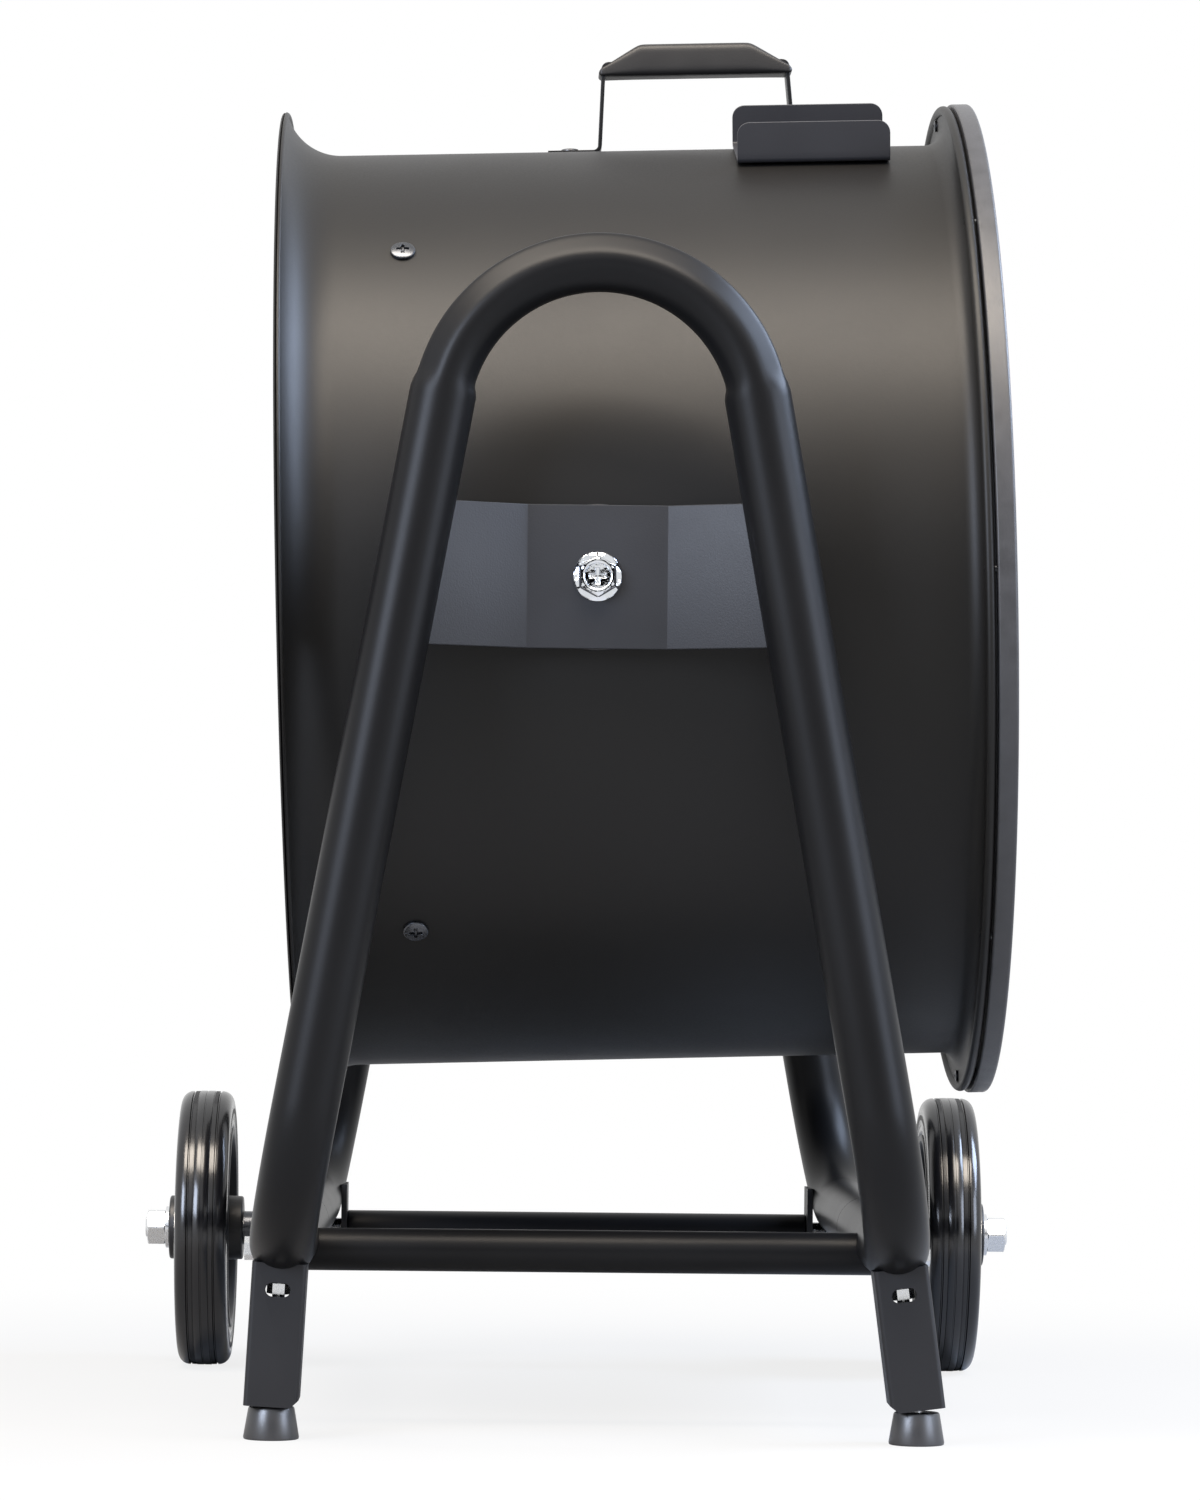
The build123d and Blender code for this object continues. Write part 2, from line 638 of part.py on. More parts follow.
def pivot_pads():
    """Round saddle pads between the drum and the plates."""
    parts = []
    for side in (NEAR, FAR):
        pad = facing(side) * upright(DRUM_R / 2, PAD_FACE, PAD_D / 2, BOLT_D / 2 + FIT)
        parts.append(pad - along_x(-PAD_D, PAD_D, DRUM_R))
    return group(parts)


def stiffeners():
    """Curved plates behind the drum's wall, under the nuts of the tilt joint."""
    ring = along_x(-STIFFENER_W / 2, STIFFENER_W / 2, DRUM_IN, DRUM_IN - STIFFENER_T)
    parts = []
    for side in (NEAR, FAR):
        block = Pos(0, side * DRUM_R, 0) * Box(STIFFENER_W, DRUM_R, STIFFENER_W)
        hole = facing(side) * upright(DRUM_R / 2, DRUM_R, BOLT_D / 2 + FIT)
        parts.append((ring & block) - hole)
    return group(parts)


NUT_FACE = sqrt((DRUM_IN - STIFFENER_T) ** 2 - (BOLT_AF / 2) ** 2)


def pivot_bolts():
    """Flanged hexagon bolts with a dished head and a cross recess."""
    base = PLATE_OUT + SKIN
    bolt = upright(base, base + BOLT_FLANGE_T, BOLT_FLANGE_D / 2)
    head = hexagon(BOLT_AF, base, base + BOLT_HEAD_H)
    top = base + BOLT_HEAD_H
    head &= dome(top, BOLT_AF, HEAD_FLAT)
    head -= upright(top - BOLT_DISH, top, BOLT_DISH_D / 2)
    recess = Box(BOLT_SLOT, 2 * RECESS_W, BOLT_HEAD_H) + Box(2 * RECESS_W, BOLT_SLOT, BOLT_HEAD_H)
    head -= Pos(0, 0, top) * recess
    bolt = bolt + head + upright(NUT_FACE - NUT_H - BOLT_PROUD, base, BOLT_D / 2)
    return group(facing(side) * bolt for side in (NEAR, FAR))


def pivot_nuts():
    nut = hexagon(BOLT_AF, NUT_FACE - NUT_H, NUT_FACE, BOLT_D / 2)
    return group(facing(side) * nut for side in (NEAR, FAR))


# ---------------------------------------------------------------- drum and guards
def drum_profile():
    """Section of the drum's wall in the (x, r) plane, from inlet hem to outlet flange."""
    mid_x, mid_r = -DRUM_BACK, DRUM_R + FLARE_R
    a, half = radians(FLARE_ANGLE), radians(FLARE_ANGLE / 2)

    def flare(angle, radius):
        return mid_x - radius * sin(angle), mid_r - radius * cos(angle)

    def corner(angle, radius):
        return DRUM_FRONT + radius * sin(angle), DRUM_R + CORNER_R - radius * cos(angle)

    thick_flare, thick_corner = FLARE_R + DRUM_WALL, CORNER_R + DRUM_WALL
    quarter, eighth = radians(90), radians(45)
    edges = [
        ThreePointArc(flare(a, FLARE_R), flare(half, FLARE_R), flare(0, FLARE_R)),
        Line(flare(0, FLARE_R), corner(0, CORNER_R)),
        ThreePointArc(corner(0, CORNER_R), corner(eighth, CORNER_R), corner(quarter, CORNER_R)),
        Polyline(corner(quarter, CORNER_R), (FLANGE_X, FLANGE_R), (FLANGE_X + DRUM_WALL, FLANGE_R),
                 corner(quarter, thick_corner)),
        ThreePointArc(corner(quarter, thick_corner), corner(eighth, thick_corner), corner(0, thick_corner)),
        Line(corner(0, thick_corner), flare(0, thick_flare)),
        ThreePointArc(flare(0, thick_flare), flare(half, thick_flare), flare(a, thick_flare)),
        Line(flare(a, thick_flare), flare(a, FLARE_R)),
    ]
    hem = Pos(*flare(a, FLARE_R + DRUM_WALL / 2), 0) * Circle(HEM_D / 2)
    bead = Pos(BEAD_X, FLANGE_R - BEAD_D / 2, 0) * Circle(BEAD_D / 2)
    return make_face(edges) + hem + bead


def drum_holes():
    """Holes for everything that passes through the drum's wall."""
    bolt = upright(DRUM_R / 2, DRUM_R + CUT, BOLT_D / 2 + FIT)
    screw = upright(DRUM_R / 2, DRUM_R + CUT, SCREW_D / 2 + FIT)
    holes = [facing(side) * bolt for side in (NEAR, FAR)]
    holes += [on_drum(angle, MOUNT_X) * screw for angle in arm_angles()]
    holes += [on_drum(0, x) * screw for x in strap_rivet_places()]
    holes += [on_drum(CRADLE_ANGLE, x) * screw for x in cradle_screw_places()]
    holes += [on_drum(BOX_ANGLE, x) * screw for x in box_screw_places()]
    holes.append(on_drum(BOX_ANGLE, LEAD_X) * upright(DRUM_R / 2, DRUM_R + CUT, LEAD_D / 2 + FIT))
    return holes


def drum_shell():
    shell = revolve(Plane.XZ * drum_profile(), Axis.X)
    for hole in drum_holes():
        shell -= hole
    for place in guard_screw_places():
        shell -= place * upright(-FLANGE_W, FLANGE_W, GUARD_SCREW_D / 2 + FIT)
    return shell


def guard(x, outer_r, out):
    """Wire rings welded to radial spokes, which lie on the guard's outward side."""
    spoke_x = x + out * SPOKE_OFFSET
    inner_r = GUARD_CENTRE_D / 2
    pitch = (outer_r - inner_r) / (RINGS - 1)
    upright_ring = Pos(x, 0, 0) * Rot(0, 90, 0)
    rings = [upright_ring * Torus(inner_r + k * pitch, WIRE_D / 2) for k in range(RINGS)]
    step = 360 / SPOKES
    spoke = upright(inner_r - SPOKE_D, outer_r + WIRE_D / 3, SPOKE_D / 2)
    spokes = [Rot(step * (k + 0.5), 0, 0) * Pos(spoke_x, 0, 0) * spoke for k in range(SPOKES)]
    return rings[0].fuse(*rings[1:], *spokes)


def centre_plate(x, out):
    """Blank disc that covers the middle of a guard, on its outward side."""
    face = x + out * (SPOKE_OFFSET + SPOKE_D / 2 + FIT / 2)
    ends = sorted((face, face + out * CENTRE_PLATE_T))
    return along_x(*ends, GUARD_CENTRE_D / 2 + WIRE_D / 2)


FLARE_REACH = sqrt((FLARE_R + DRUM_WALL + WIRE_D / 2 + FIT) ** 2 - REAR_GUARD_SINK ** 2)
REAR_RING_R = DRUM_R + FLARE_R - FLARE_REACH


def front_guard():
    return guard(GUARD_X, BAND_R - BAND_T - WIRE_D / 2 - FIT / 2, FRONT)


def rear_guard():
    return guard(REAR_GUARD_X, REAR_RING_R, REAR)


def rear_guard_clips():
    """Hooks welded inside the drum, which hold the rear guard's outer ring."""
    hook_x = REAR_GUARD_X - WIRE_D / 2 - SKIN
    low, tip = DRUM_IN - CLIP_T, REAR_RING_R + CLIP_TIP
    ring = turned([(hook_x + CLIP_L, DRUM_IN), (hook_x + CLIP_L, low), (hook_x - CLIP_T, low),
                   (hook_x - CLIP_T, tip), (hook_x, tip), (hook_x, DRUM_IN)])
    clip = ring & (Pos(hook_x, 0, DRUM_R) * Box(3 * CLIP_L, CLIP_W, DRUM_R))
    return group(Rot(360 / CLIPS * k, 0, 0) * clip for k in range(CLIPS))


def guard_screw_places():
    """Axes of the screws through the drum's flange, +Z along the air's way."""
    r = (DRUM_R + CORNER_R + FLANGE_R - BEAD_D) / 2
    return [on_drum(360 / GUARD_SCREWS * k, FLANGE_X, r) * Rot(0, 90, 0) for k in range(GUARD_SCREWS)]


def guard_band():
    """Channel ring that holds the front guard, screwed to the drum's flange."""
    inner = BAND_R - BAND_LIP
    end = BAND_X + BAND_W
    band = turned([(BAND_X, inner), (BAND_X, BAND_R), (end - BAND_T, BAND_R), (end, BAND_R - BAND_T),
                   (end, BAND_R - 2 * BAND_T), (end - BAND_T, BAND_R - BAND_T),
                   (BAND_X + BAND_T, BAND_R - BAND_T), (BAND_X + BAND_T, inner)])
    for place in guard_screw_places():
        band -= place * upright(-FLANGE_W, FLANGE_W, GUARD_SCREW_D / 2 + FIT)
    return band


def guard_screws():
    """Pan screws behind the flange, with their nuts in front of the band's lip."""
    through = BAND_X + BAND_T - FLANGE_X
    head = FLANGE_W - CORNER_R - BEAD_D
    screw = Rot(180, 0, 0) * pan_screw(through + GUARD_NUT_H + CUT, head, GUARD_HEAD_H, GUARD_SCREW_D)
    nut = hexagon(GUARD_NUT_AF, through, through + GUARD_NUT_H, GUARD_SCREW_D / 2)
    return group(place * part for place in guard_screw_places() for part in (screw, nut))


# ---------------------------------------------------------------- handle and cord bracket
def strap_rivet_places():
    """X of the two rivets of the handle strap."""
    reach = STRAP_LEAN + STRAP_RIVET
    return GRIP_REAR - reach, GRIP_REAR + GRIP_L + reach


def handle_strap():
    """One bent strip: foot, leg, bar through the grip, leg, foot."""
    middle, half, foot = GRIP_REAR + GRIP_L / 2, GRIP_L / 2, DRUM_R
    low = half + STRAP_LEAN
    end = low + STRAP_FOOT
    under = [(end, foot), (low - STRAP_T, foot), (half - STRAP_T, GRIP_LOW), (half - STRAP_T, BAR_LOW)]
    over = [(half, BAR_LOW + STRAP_T), (half, GRIP_LOW), (low, foot + STRAP_T), (end, foot + STRAP_T)]
    outline = [(middle - x, z) for x, z in under] + [(middle + x, z) for x, z in reversed(under)]
    outline += [(middle + x, z) for x, z in reversed(over)] + [(middle - x, z) for x, z in over]
    strap = extrude(make_face(Plane.XZ * Polyline(*outline, close=True)), STRAP_W / 2, both=True)
    for x in strap_rivet_places():
        strap -= Pos(x, 0, 0) * upright(foot - CUT, foot + STRAP_T + CUT, RIVET_D / 2 + FIT)
    return strap


def handle_grip():
    """Moulded grip with bevelled ends, slotted for the strap."""
    low, high = GRIP_LOW, GRIP_LOW + GRIP_H
    left, right = GRIP_REAR - FIT, GRIP_REAR + GRIP_L + FIT
    bevel = (GRIP_L - GRIP_TOP_L) / 2
    start, end, step = left - GRIP_LIP, right + GRIP_LIP, low + GRIP_END_H
    outline = Polyline((start, low), (start, step), (left + bevel, high), (right - bevel, high),
                       (end, step), (end, low), close=True)
    grip = extrude(make_face(Plane.XZ * outline), GRIP_W / 2, both=True)
    grip = fillet(grip.edges().filter_by(lambda e: e.length > GRIP_TOP_L - CUT), GRIP_EDGE)
    wide, thick = STRAP_W + 2 * FIT, STRAP_T + 2 * FIT
    grip -= Pos((left + right) / 2, 0, BAR_LOW + STRAP_T / 2) * Box(right - left, wide, thick)
    for x in (left + thick / 2, right - thick / 2):
        grip -= Pos(x, 0, (low + BAR_LOW) / 2) * Box(thick, wide, BAR_LOW - low + 2 * CUT)
    return grip


def rivet(sheet_top):
    """Domed rivet, head on a sheet above the drum, tail upset inside the drum."""
    head = upright(sheet_top, sheet_top + RIVET_HEAD_H, RIVET_HEAD_D / 2)
    head &= dome(sheet_top + RIVET_HEAD_H, RIVET_HEAD_D)
    shank = upright(DRUM_IN - RIVET_TAIL_H / 2, sheet_top, RIVET_D / 2)
    return head + shank + upright(DRUM_IN - RIVET_TAIL_H, DRUM_IN - FIT, RIVET_TAIL_D / 2)


def cradle_screw_places():
    return [CRADLE_X + s * CRADLE_L / 3 for s in (REAR, FRONT)]


def cord_cradle():
    """Open channel for winding a cord on: a flat base and two round-cornered flanges."""
    base = Box(CRADLE_L, CRADLE_W, CRADLE_T, align=(Align.CENTER, Align.CENTER, Align.MIN))
    side = Pos(0, 0, CRADLE_H / 2) * Rot(90, 0, 0) * extrude(
        RectangleRounded(CRADLE_L, CRADLE_H, CRADLE_CORNER), CRADLE_T / 2, both=True)
    side += Pos(0, 0, CRADLE_CORNER / 2) * Box(CRADLE_L, CRADLE_T, CRADLE_CORNER)
    reach = (CRADLE_W - CRADLE_T) / 2
    cradle = base + Pos(0, reach, 0) * side + Pos(0, -reach, 0) * side
    for x in cradle_screw_places():
        cradle -= Pos(x - CRADLE_X, 0, 0) * upright(-CUT, CRADLE_T + CUT, RIVET_D / 2 + FIT)
    return on_drum(CRADLE_ANGLE, CRADLE_X, DRUM_R) * cradle


def drum_rivets():
    """Rivets of the handle, the cord bracket and the switch box."""
    parts = [on_drum(0, x) * rivet(DRUM_R + STRAP_T) for x in strap_rivet_places()]
    parts += [on_drum(CRADLE_ANGLE, x) * rivet(DRUM_R + CRADLE_T) for x in cradle_screw_places()]
    parts += [on_drum(BOX_ANGLE, x) * rivet(BOX_BASE + BOX_T) for x in box_screw_places()]
    return group(parts)


# ---------------------------------------------------------------- motor
def arm_angles():
    return [ARM_ANGLE + 360 / ARMS * k for k in range(ARMS)]


def motor_mount():
    """A clamp band round the motor with four arms and feet on the drum's wall."""
    x0, x1 = MOUNT_X - MOUNT_W / 2, MOUNT_X + MOUNT_W / 2
    motor_r = MOTOR_D / 2
    mount = along_x(x0, x1, motor_r + MOUNT_T, motor_r)
    wall = along_x(x0, x1, DRUM_IN, DRUM_IN - MOUNT_T)
    low, high = motor_r + MOUNT_T / 4, DRUM_IN - MOUNT_T / 2
    arm = Pos(MOUNT_X, -ARM_SIDE, (low + high) / 2) * Box(MOUNT_W, MOUNT_T, high - low)
    foot = wall & (Pos(MOUNT_X, 0, DRUM_R) * Box(MOUNT_W, MOUNT_FOOT, DRUM_R))
    for angle in arm_angles():
        mount += Rot(angle, 0, 0) * (arm + foot)
    for angle in arm_angles():
        mount -= on_drum(angle, MOUNT_X) * upright(DRUM_R / 2, DRUM_R, SCREW_D / 2 + FIT)
    return mount


def mount_nut_face():
    return DRUM_IN - MOUNT_T


def drum_screws():
    """Pan head screws through the drum's wall into the motor mount's feet."""
    reach = DRUM_R - mount_nut_face() + SCREW_NUT_H + SCREW_PROUD
    return group(on_drum(angle, MOUNT_X, DRUM_R) * pan_screw(reach) for angle in arm_angles())


def drum_screw_nuts():
    top = mount_nut_face() - FIT / 2
    nut = hexagon(SCREW_NUT_AF, top - SCREW_NUT_H, top, SCREW_D / 2)
    return group(on_drum(angle, MOUNT_X) * nut for angle in arm_angles())


def motor_housing():
    """Rolled steel shell of the motor."""
    return along_x(MOTOR_BACK, MOTOR_FRONT, MOTOR_D / 2, MOTOR_D / 2 - MOTOR_WALL)


def end_bell(out):
    """Cast end cover with a bearing seat; out is the way its closed side faces."""
    r, seat = MOTOR_D / 2, BEARING_D / 2
    bell = turned([(0, r), (0, r - 2 * BELL_WALL), (BELL_T - BELL_WALL, r - 3 * BELL_WALL),
                   (BELL_T - BELL_WALL, seat + BELL_WALL), (BELL_T - BEARING_W - BELL_WALL, seat + BELL_WALL),
                   (BELL_T - BEARING_W - BELL_WALL, seat), (BELL_T - BELL_WALL, seat),
                   (BELL_T - BELL_WALL, SHAFT_D / 2 + BELL_CLEAR), (BELL_T, SHAFT_D / 2 + BELL_CLEAR),
                   (BELL_T, r - 3 * BELL_WALL), (BELL_WALL, r)])
    x = MOTOR_FRONT if out == FRONT else MOTOR_BACK
    return Pos(x, 0, 0) * (bell if out == FRONT else bell.mirror(Plane.YZ))


def bearings():
    """Ball bearings, drawn as plain rings, in the end bells."""
    depth = BELL_T - BELL_WALL
    ring_f = along_x(MOTOR_FRONT + depth - BEARING_W, MOTOR_FRONT + depth, BEARING_D / 2, SHAFT_D / 2 + RUN)
    ring_b = along_x(MOTOR_BACK - depth, MOTOR_BACK - depth + BEARING_W, BEARING_D / 2, SHAFT_D / 2 + RUN)
    return group([ring_f, ring_b])


def motor_middle():
    return (MOTOR_BACK + MOTOR_FRONT) / 2


def stator_core():
    x = motor_middle()
    return along_x(x - STATOR_L / 2, x + STATOR_L / 2, MOTOR_D / 2 - MOTOR_WALL, STATOR_BORE / 2)


def stator_windings():
    """End turns on both faces of the core."""
    x, r = motor_middle(), (STATOR_BORE + MOTOR_D - 2 * MOTOR_WALL) / 4
    rings = []
    for s in (REAR, FRONT):
        a, b = sorted((x + s * STATOR_L / 2, x + s * (STATOR_L / 2 + WINDING_L)))
        rings.append(along_x(a, b, r + WINDING_T / 2, r - WINDING_T / 2))
    return group(rings)


def rotor():
    x = motor_middle()
    core = along_x(x - STATOR_L / 2, x + STATOR_L / 2, STATOR_BORE / 2 - AIR_GAP)
    return core + along_x(BELL_BACK - SHAFT_BACK, HUB_BACK + HUB_L + SHAFT_FRONT, SHAFT_D / 2)


# ---------------------------------------------------------------- blades
def blade_hub():
    hub = along_x(HUB_BACK, HUB_BACK + HUB_L, HUB_D / 2, SHAFT_D / 2)
    rim = hub.edges().filter_by(GeomType.CIRCLE).filter_by(lambda e: e.radius > SHAFT_D)
    hub = fillet(rim, HUB_EDGE)
    return hub - Pos(HUB_BACK + SET_SCREW_IN, 0, 0) * upright(0, HUB_D, SET_SCREW_D / 2)


def set_screw():
    """Grub screw that locks the hub on the shaft."""
    low, high = SHAFT_D / 2, SHAFT_D / 2 + SET_SCREW_L
    screw = upright(low, high, SET_SCREW_D / 2) - hexagon(SOCKET_AF, high - SOCKET_L, high)
    return Pos(HUB_BACK + SET_SCREW_IN, 0, 0) * screw


def blade():
    """Twisted sheet blade, from the hub's rim to the tip."""
    tip = DRUM_IN - TIP_GAP
    sections = []
    for share in (0.0, 0.5, 1.0):
        r = HUB_D / 4 + share * (tip - HUB_D / 4)
        chord = BLADE_ROOT + share * (BLADE_TIP - BLADE_ROOT)
        pitch = ROOT_ANGLE + share * (TIP_ANGLE - ROOT_ANGLE)
        plane = Plane(origin=(0, 0, r), x_dir=(0, 1, 0), z_dir=(0, 0, 1))
        sections.append(plane * Rot(0, 0, -pitch) * Rectangle(chord, BLADE_T))
    solid = loft(sections)
    solid &= along_x(-BLADE_TIP, BLADE_TIP, tip)
    return Pos(HUB_BACK + HUB_L / 2, 0, 0) * solid


def blades():
    one = blade() - along_x(HUB_BACK - BLADE_TIP, HUB_BACK + BLADE_TIP, HUB_D / 2)
    return group(Rot(360 / BLADES * k + BLADE_TURN, 0, 0) * one for k in range(BLADES))


# ---------------------------------------------------------------- switch box
def in_box(x=0.0, y=0.0, z=0.0):
    """A place in the switch box: from its middle, z up from its floor's underside."""
    return on_drum(BOX_ANGLE, BOX_X + x, BOX_BASE) * Pos(0, y, z)


def box_screw_places():
    return [BOX_X + s * (BOX_L / 2 - BOX_RIVET_IN) for s in (REAR, FRONT)]


def box_corners():
    """Places of the four posts, which are half sunk in the box's walls."""
    inset = (BOX_T + POST_D) / 2
    x, y = BOX_L / 2 - inset, BOX_W / 2 - inset
    return [Pos(sx * x, sy * y, 0) for sx in (-1, 1) for sy in (-1, 1)]


def box_posts(radius, z0, z1):
    """Round bars at the four corners, where the lid's screws go."""
    return [place * upright(z0, z1, radius) for place in box_corners()]


def switch_box():
    """Moulded tray on two feet, open on top, with posts for its lid's screws."""
    high = BOX_H - BOX_T
    block = Pos(0, 0, high / 2) * Box(BOX_L, BOX_W, high)
    box = fillet(block.edges().filter_by(Axis.Z), BOX_CORNER)
    box -= Pos(0, 0, high / 2 + BOX_T) * Box(BOX_L - 2 * BOX_T, BOX_W - 2 * BOX_T, high)
    for post in box_posts(POST_D / 2, BOX_T / 2, high):
        box += post
    for hole in box_posts(LID_SCREW_D / 2, high / 2, high):
        box -= hole
    box -= Pos(-BOX_L / 2, 0, GLAND_UP) * along_x(-BOX_T, 2 * BOX_T, GLAND_D / 2 - GLAND_WALL)
    box = in_box() * box
    for x in box_screw_places():
        foot = on_drum(BOX_ANGLE, x) * upright(DRUM_IN, BOX_BASE + BOX_T / 2, BOX_FOOT_D / 2)
        box += foot - along_x(-DRUM_D, DRUM_D, DRUM_R)
    for x in box_screw_places():
        box -= on_drum(BOX_ANGLE, x) * upright(DRUM_IN, BOX_BASE + BOX_T, RIVET_D / 2 + FIT)
    return box - on_drum(BOX_ANGLE, LEAD_X) * upright(DRUM_IN, BOX_BASE + BOX_T, LEAD_D / 2 + FIT)


def box_lid():
    lid = Pos(0, 0, BOX_H - BOX_T / 2) * Box(BOX_L, BOX_W, BOX_T)
    lid = fillet(lid.edges().filter_by(Axis.Z), BOX_CORNER)
    for hole in box_posts(LID_SCREW_D / 2 + FIT, 0, BOX_H):
        lid -= hole
    lid -= Pos(KNOB_X, KNOB_Y, 0) * upright(0, BOX_H, SPINDLE_D / 2 + RUN)
    return in_box() * lid


def box_lid_screws():
    screw = pan_screw(BOX_H / 2 - BOX_T, 2 * LID_SCREW_D, LID_HEAD_H, LID_SCREW_D)
    return group(in_box(z=BOX_H) * place * screw for place in box_corners())


def rotary_switch():
    """Switch body under the lid."""
    body = Pos(0, 0, BOX_H - BOX_T - SWITCH_H / 2) * Box(SWITCH_L, SWITCH_L, SWITCH_H)
    body = body - upright(0, BOX_H, SPINDLE_D / 2 + RUN)
    return in_box(KNOB_X, KNOB_Y) * body


def switch_knob():
    """Round knob with a grip bar and a pointer line, on the switch's spindle."""
    base = BOX_H + SKIN
    knob = upright(base, base + KNOB_H / 2, KNOB_D / 2)
    knob = chamfer(knob.edges().group_by(Axis.Z)[-1], KNOB_EDGE)
    bar = Pos(0, 0, base + KNOB_H / 2) * Box(KNOB_BAR_L, KNOB_BAR_W, KNOB_H)
    bar = fillet(bar.edges().filter_by(Axis.Z), KNOB_BAR_R) & upright(base, base + KNOB_H, KNOB_D / 2)
    line = Pos(KNOB_BAR_L / 2 - POINTER_L / 2, 0, base + KNOB_H) * Box(POINTER_L, RECESS_W, RECESS_W)
    spindle = upright(BOX_H - BOX_T - SWITCH_H / 2, base + CUT, SPINDLE_D / 2)
    return in_box(KNOB_X, KNOB_Y) * (knob + bar - line + spindle)


def capacitor():
    """Motor capacitor on the box's floor."""
    can = along_x(0, CAPACITOR_L, CAPACITOR_D / 2)
    z = BOX_T + CAPACITOR_D / 2 + FIT
    return in_box(-CAPACITOR_L / 4, (BOX_W - CAPACITOR_D) / 2 - BOX_T - CAPACITOR_GAP, z) * can


def cable_gland():
    """Gland for a supply cord: hexagon flange, dome, and a lock nut inside the box."""
    wall, inner = -BOX_L / 2, GLAND_D / 2 - GLAND_WALL - FIT
    body = Rot(0, -90, 0) * (hexagon(GLAND_AF, 0, GLAND_HEX_H) + upright(0, GLAND_L, GLAND_D / 2))
    body = Pos(wall, 0, 0) * body + along_x(wall, wall + GLAND_THREAD, inner)
    body = body - along_x(wall - GLAND_L, wall + GLAND_THREAD, LEAD_D / 2 + FIT)
    nut = Pos(wall + BOX_T, 0, 0) * Rot(0, 90, 0) * hexagon(GLAND_D, 0, GLAND_NUT_H, inner)
    return group([in_box(0, 0, GLAND_UP) * body, in_box(0, 0, GLAND_UP) * nut])


def motor_lead():
    """Sleeved lead from the motor up into the switch box."""
    lead = on_drum(BOX_ANGLE, LEAD_X) * upright(MOTOR_D / 4, BOX_BASE + 2 * BOX_T, LEAD_D / 2)
    return lead - along_x(-DRUM_D, DRUM_D, MOTOR_D / 2)


# ---------------------------------------------------------------- nodes
def centre_plates():
    return group([centre_plate(GUARD_X, FRONT), centre_plate(REAR_GUARD_X, REAR)])


STAND_NODES = {
    "side_frame_near": side_frame(NEAR),
    "side_frame_far": side_frame(FAR),
    "joint_screws": joint_screws(),
    "front_cross_tube": front_cross_tube(),
    "cross_tube_bolts": cross_tube_bolts(),
    "axle_tube": axle_tube(),
    "axle_rod": axle_rod(),
    "axle_spacers": axle_spacers(),
    "axle_nuts": axle_nuts(),
    "foot_studs": foot_studs(),
    "foot_screws": foot_screws(),
    "pivot_plate_near": pivot_plate(NEAR),
    "pivot_plate_far": pivot_plate(FAR),
}
for word, end in (("rear", REAR), ("front", FRONT)):
    STAND_NODES["axle_bracket_" + word] = axle_bracket(end)
    STAND_NODES["tyre_" + word] = tyre(end)
    STAND_NODES["wheel_hub_" + word] = wheel_hub(end)
    STAND_NODES["wheel_bush_" + word] = wheel_bush(end)
    STAND_NODES["foot_leg_" + word] = foot_leg(end)
    STAND_NODES["rubber_foot_" + word] = rubber_foot(end)

DRUM_NODES = {
    "drum_shell": drum_shell(),
    "pivot_pads": pivot_pads(),
    "pivot_stiffeners": stiffeners(),
    "pivot_bolts": pivot_bolts(),
    "pivot_nuts": pivot_nuts(),
    "front_guard": front_guard(),
    "guard_band": guard_band(),
    "guard_screws": guard_screws(),
    "rear_guard": rear_guard(),
    "rear_guard_clips": rear_guard_clips(),
    "guard_centre_plates": centre_plates(),
    "handle_strap": handle_strap(),
    "handle_grip": handle_grip(),
    "cord_cradle": cord_cradle(),
    "drum_rivets": drum_rivets(),
    "motor_mount": motor_mount(),
    "drum_screws": drum_screws(),
    "drum_screw_nuts": drum_screw_nuts(),
    "motor_housing": motor_housing(),
    "motor_end_bells": group([end_bell(FRONT), end_bell(REAR)]),
    "motor_bearings": bearings(),
    "stator_core": stator_core(),
    "stator_windings": stator_windings(),
    "rotor": rotor(),
    "blade_hub": blade_hub(),
    "hub_set_screw": set_screw(),
    "fan_blades": blades(),
    "switch_box": switch_box(),
    "box_lid": box_lid(),
    "box_lid_screws": box_lid_screws(),
    "rotary_switch": rotary_switch(),
    "switch_knob": switch_knob(),
    "capacitor": capacitor(),
    "cable_gland": cable_gland(),
    "motor_lead": motor_lead(),
}

os.makedirs("parts", exist_ok=True)
for place, nodes in ((FRAME, STAND_NODES), (DRUM, DRUM_NODES)):
    for name, shape in nodes.items():
        export_step(place * shape, "parts/" + name + ".step")
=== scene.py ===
import json
import math

import bmesh
import bpy
import numpy as np
from mathutils import Matrix, Vector


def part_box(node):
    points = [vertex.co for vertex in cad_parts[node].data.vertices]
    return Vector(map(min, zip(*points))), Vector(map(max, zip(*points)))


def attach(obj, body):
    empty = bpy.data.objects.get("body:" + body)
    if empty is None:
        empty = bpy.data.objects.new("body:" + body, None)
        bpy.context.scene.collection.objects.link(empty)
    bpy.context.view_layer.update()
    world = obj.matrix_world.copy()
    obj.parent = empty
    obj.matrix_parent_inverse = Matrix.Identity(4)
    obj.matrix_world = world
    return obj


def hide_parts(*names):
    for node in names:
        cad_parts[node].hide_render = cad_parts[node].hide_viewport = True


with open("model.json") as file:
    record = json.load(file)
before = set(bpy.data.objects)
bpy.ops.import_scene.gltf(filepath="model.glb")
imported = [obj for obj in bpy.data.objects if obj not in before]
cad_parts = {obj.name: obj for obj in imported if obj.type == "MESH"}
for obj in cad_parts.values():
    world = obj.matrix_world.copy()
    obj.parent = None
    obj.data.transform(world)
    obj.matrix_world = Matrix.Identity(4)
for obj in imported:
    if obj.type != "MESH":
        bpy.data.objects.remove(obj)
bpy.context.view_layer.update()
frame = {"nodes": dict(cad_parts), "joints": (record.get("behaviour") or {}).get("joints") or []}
joints = {joint["name"]: joint for joint in frame["joints"]}

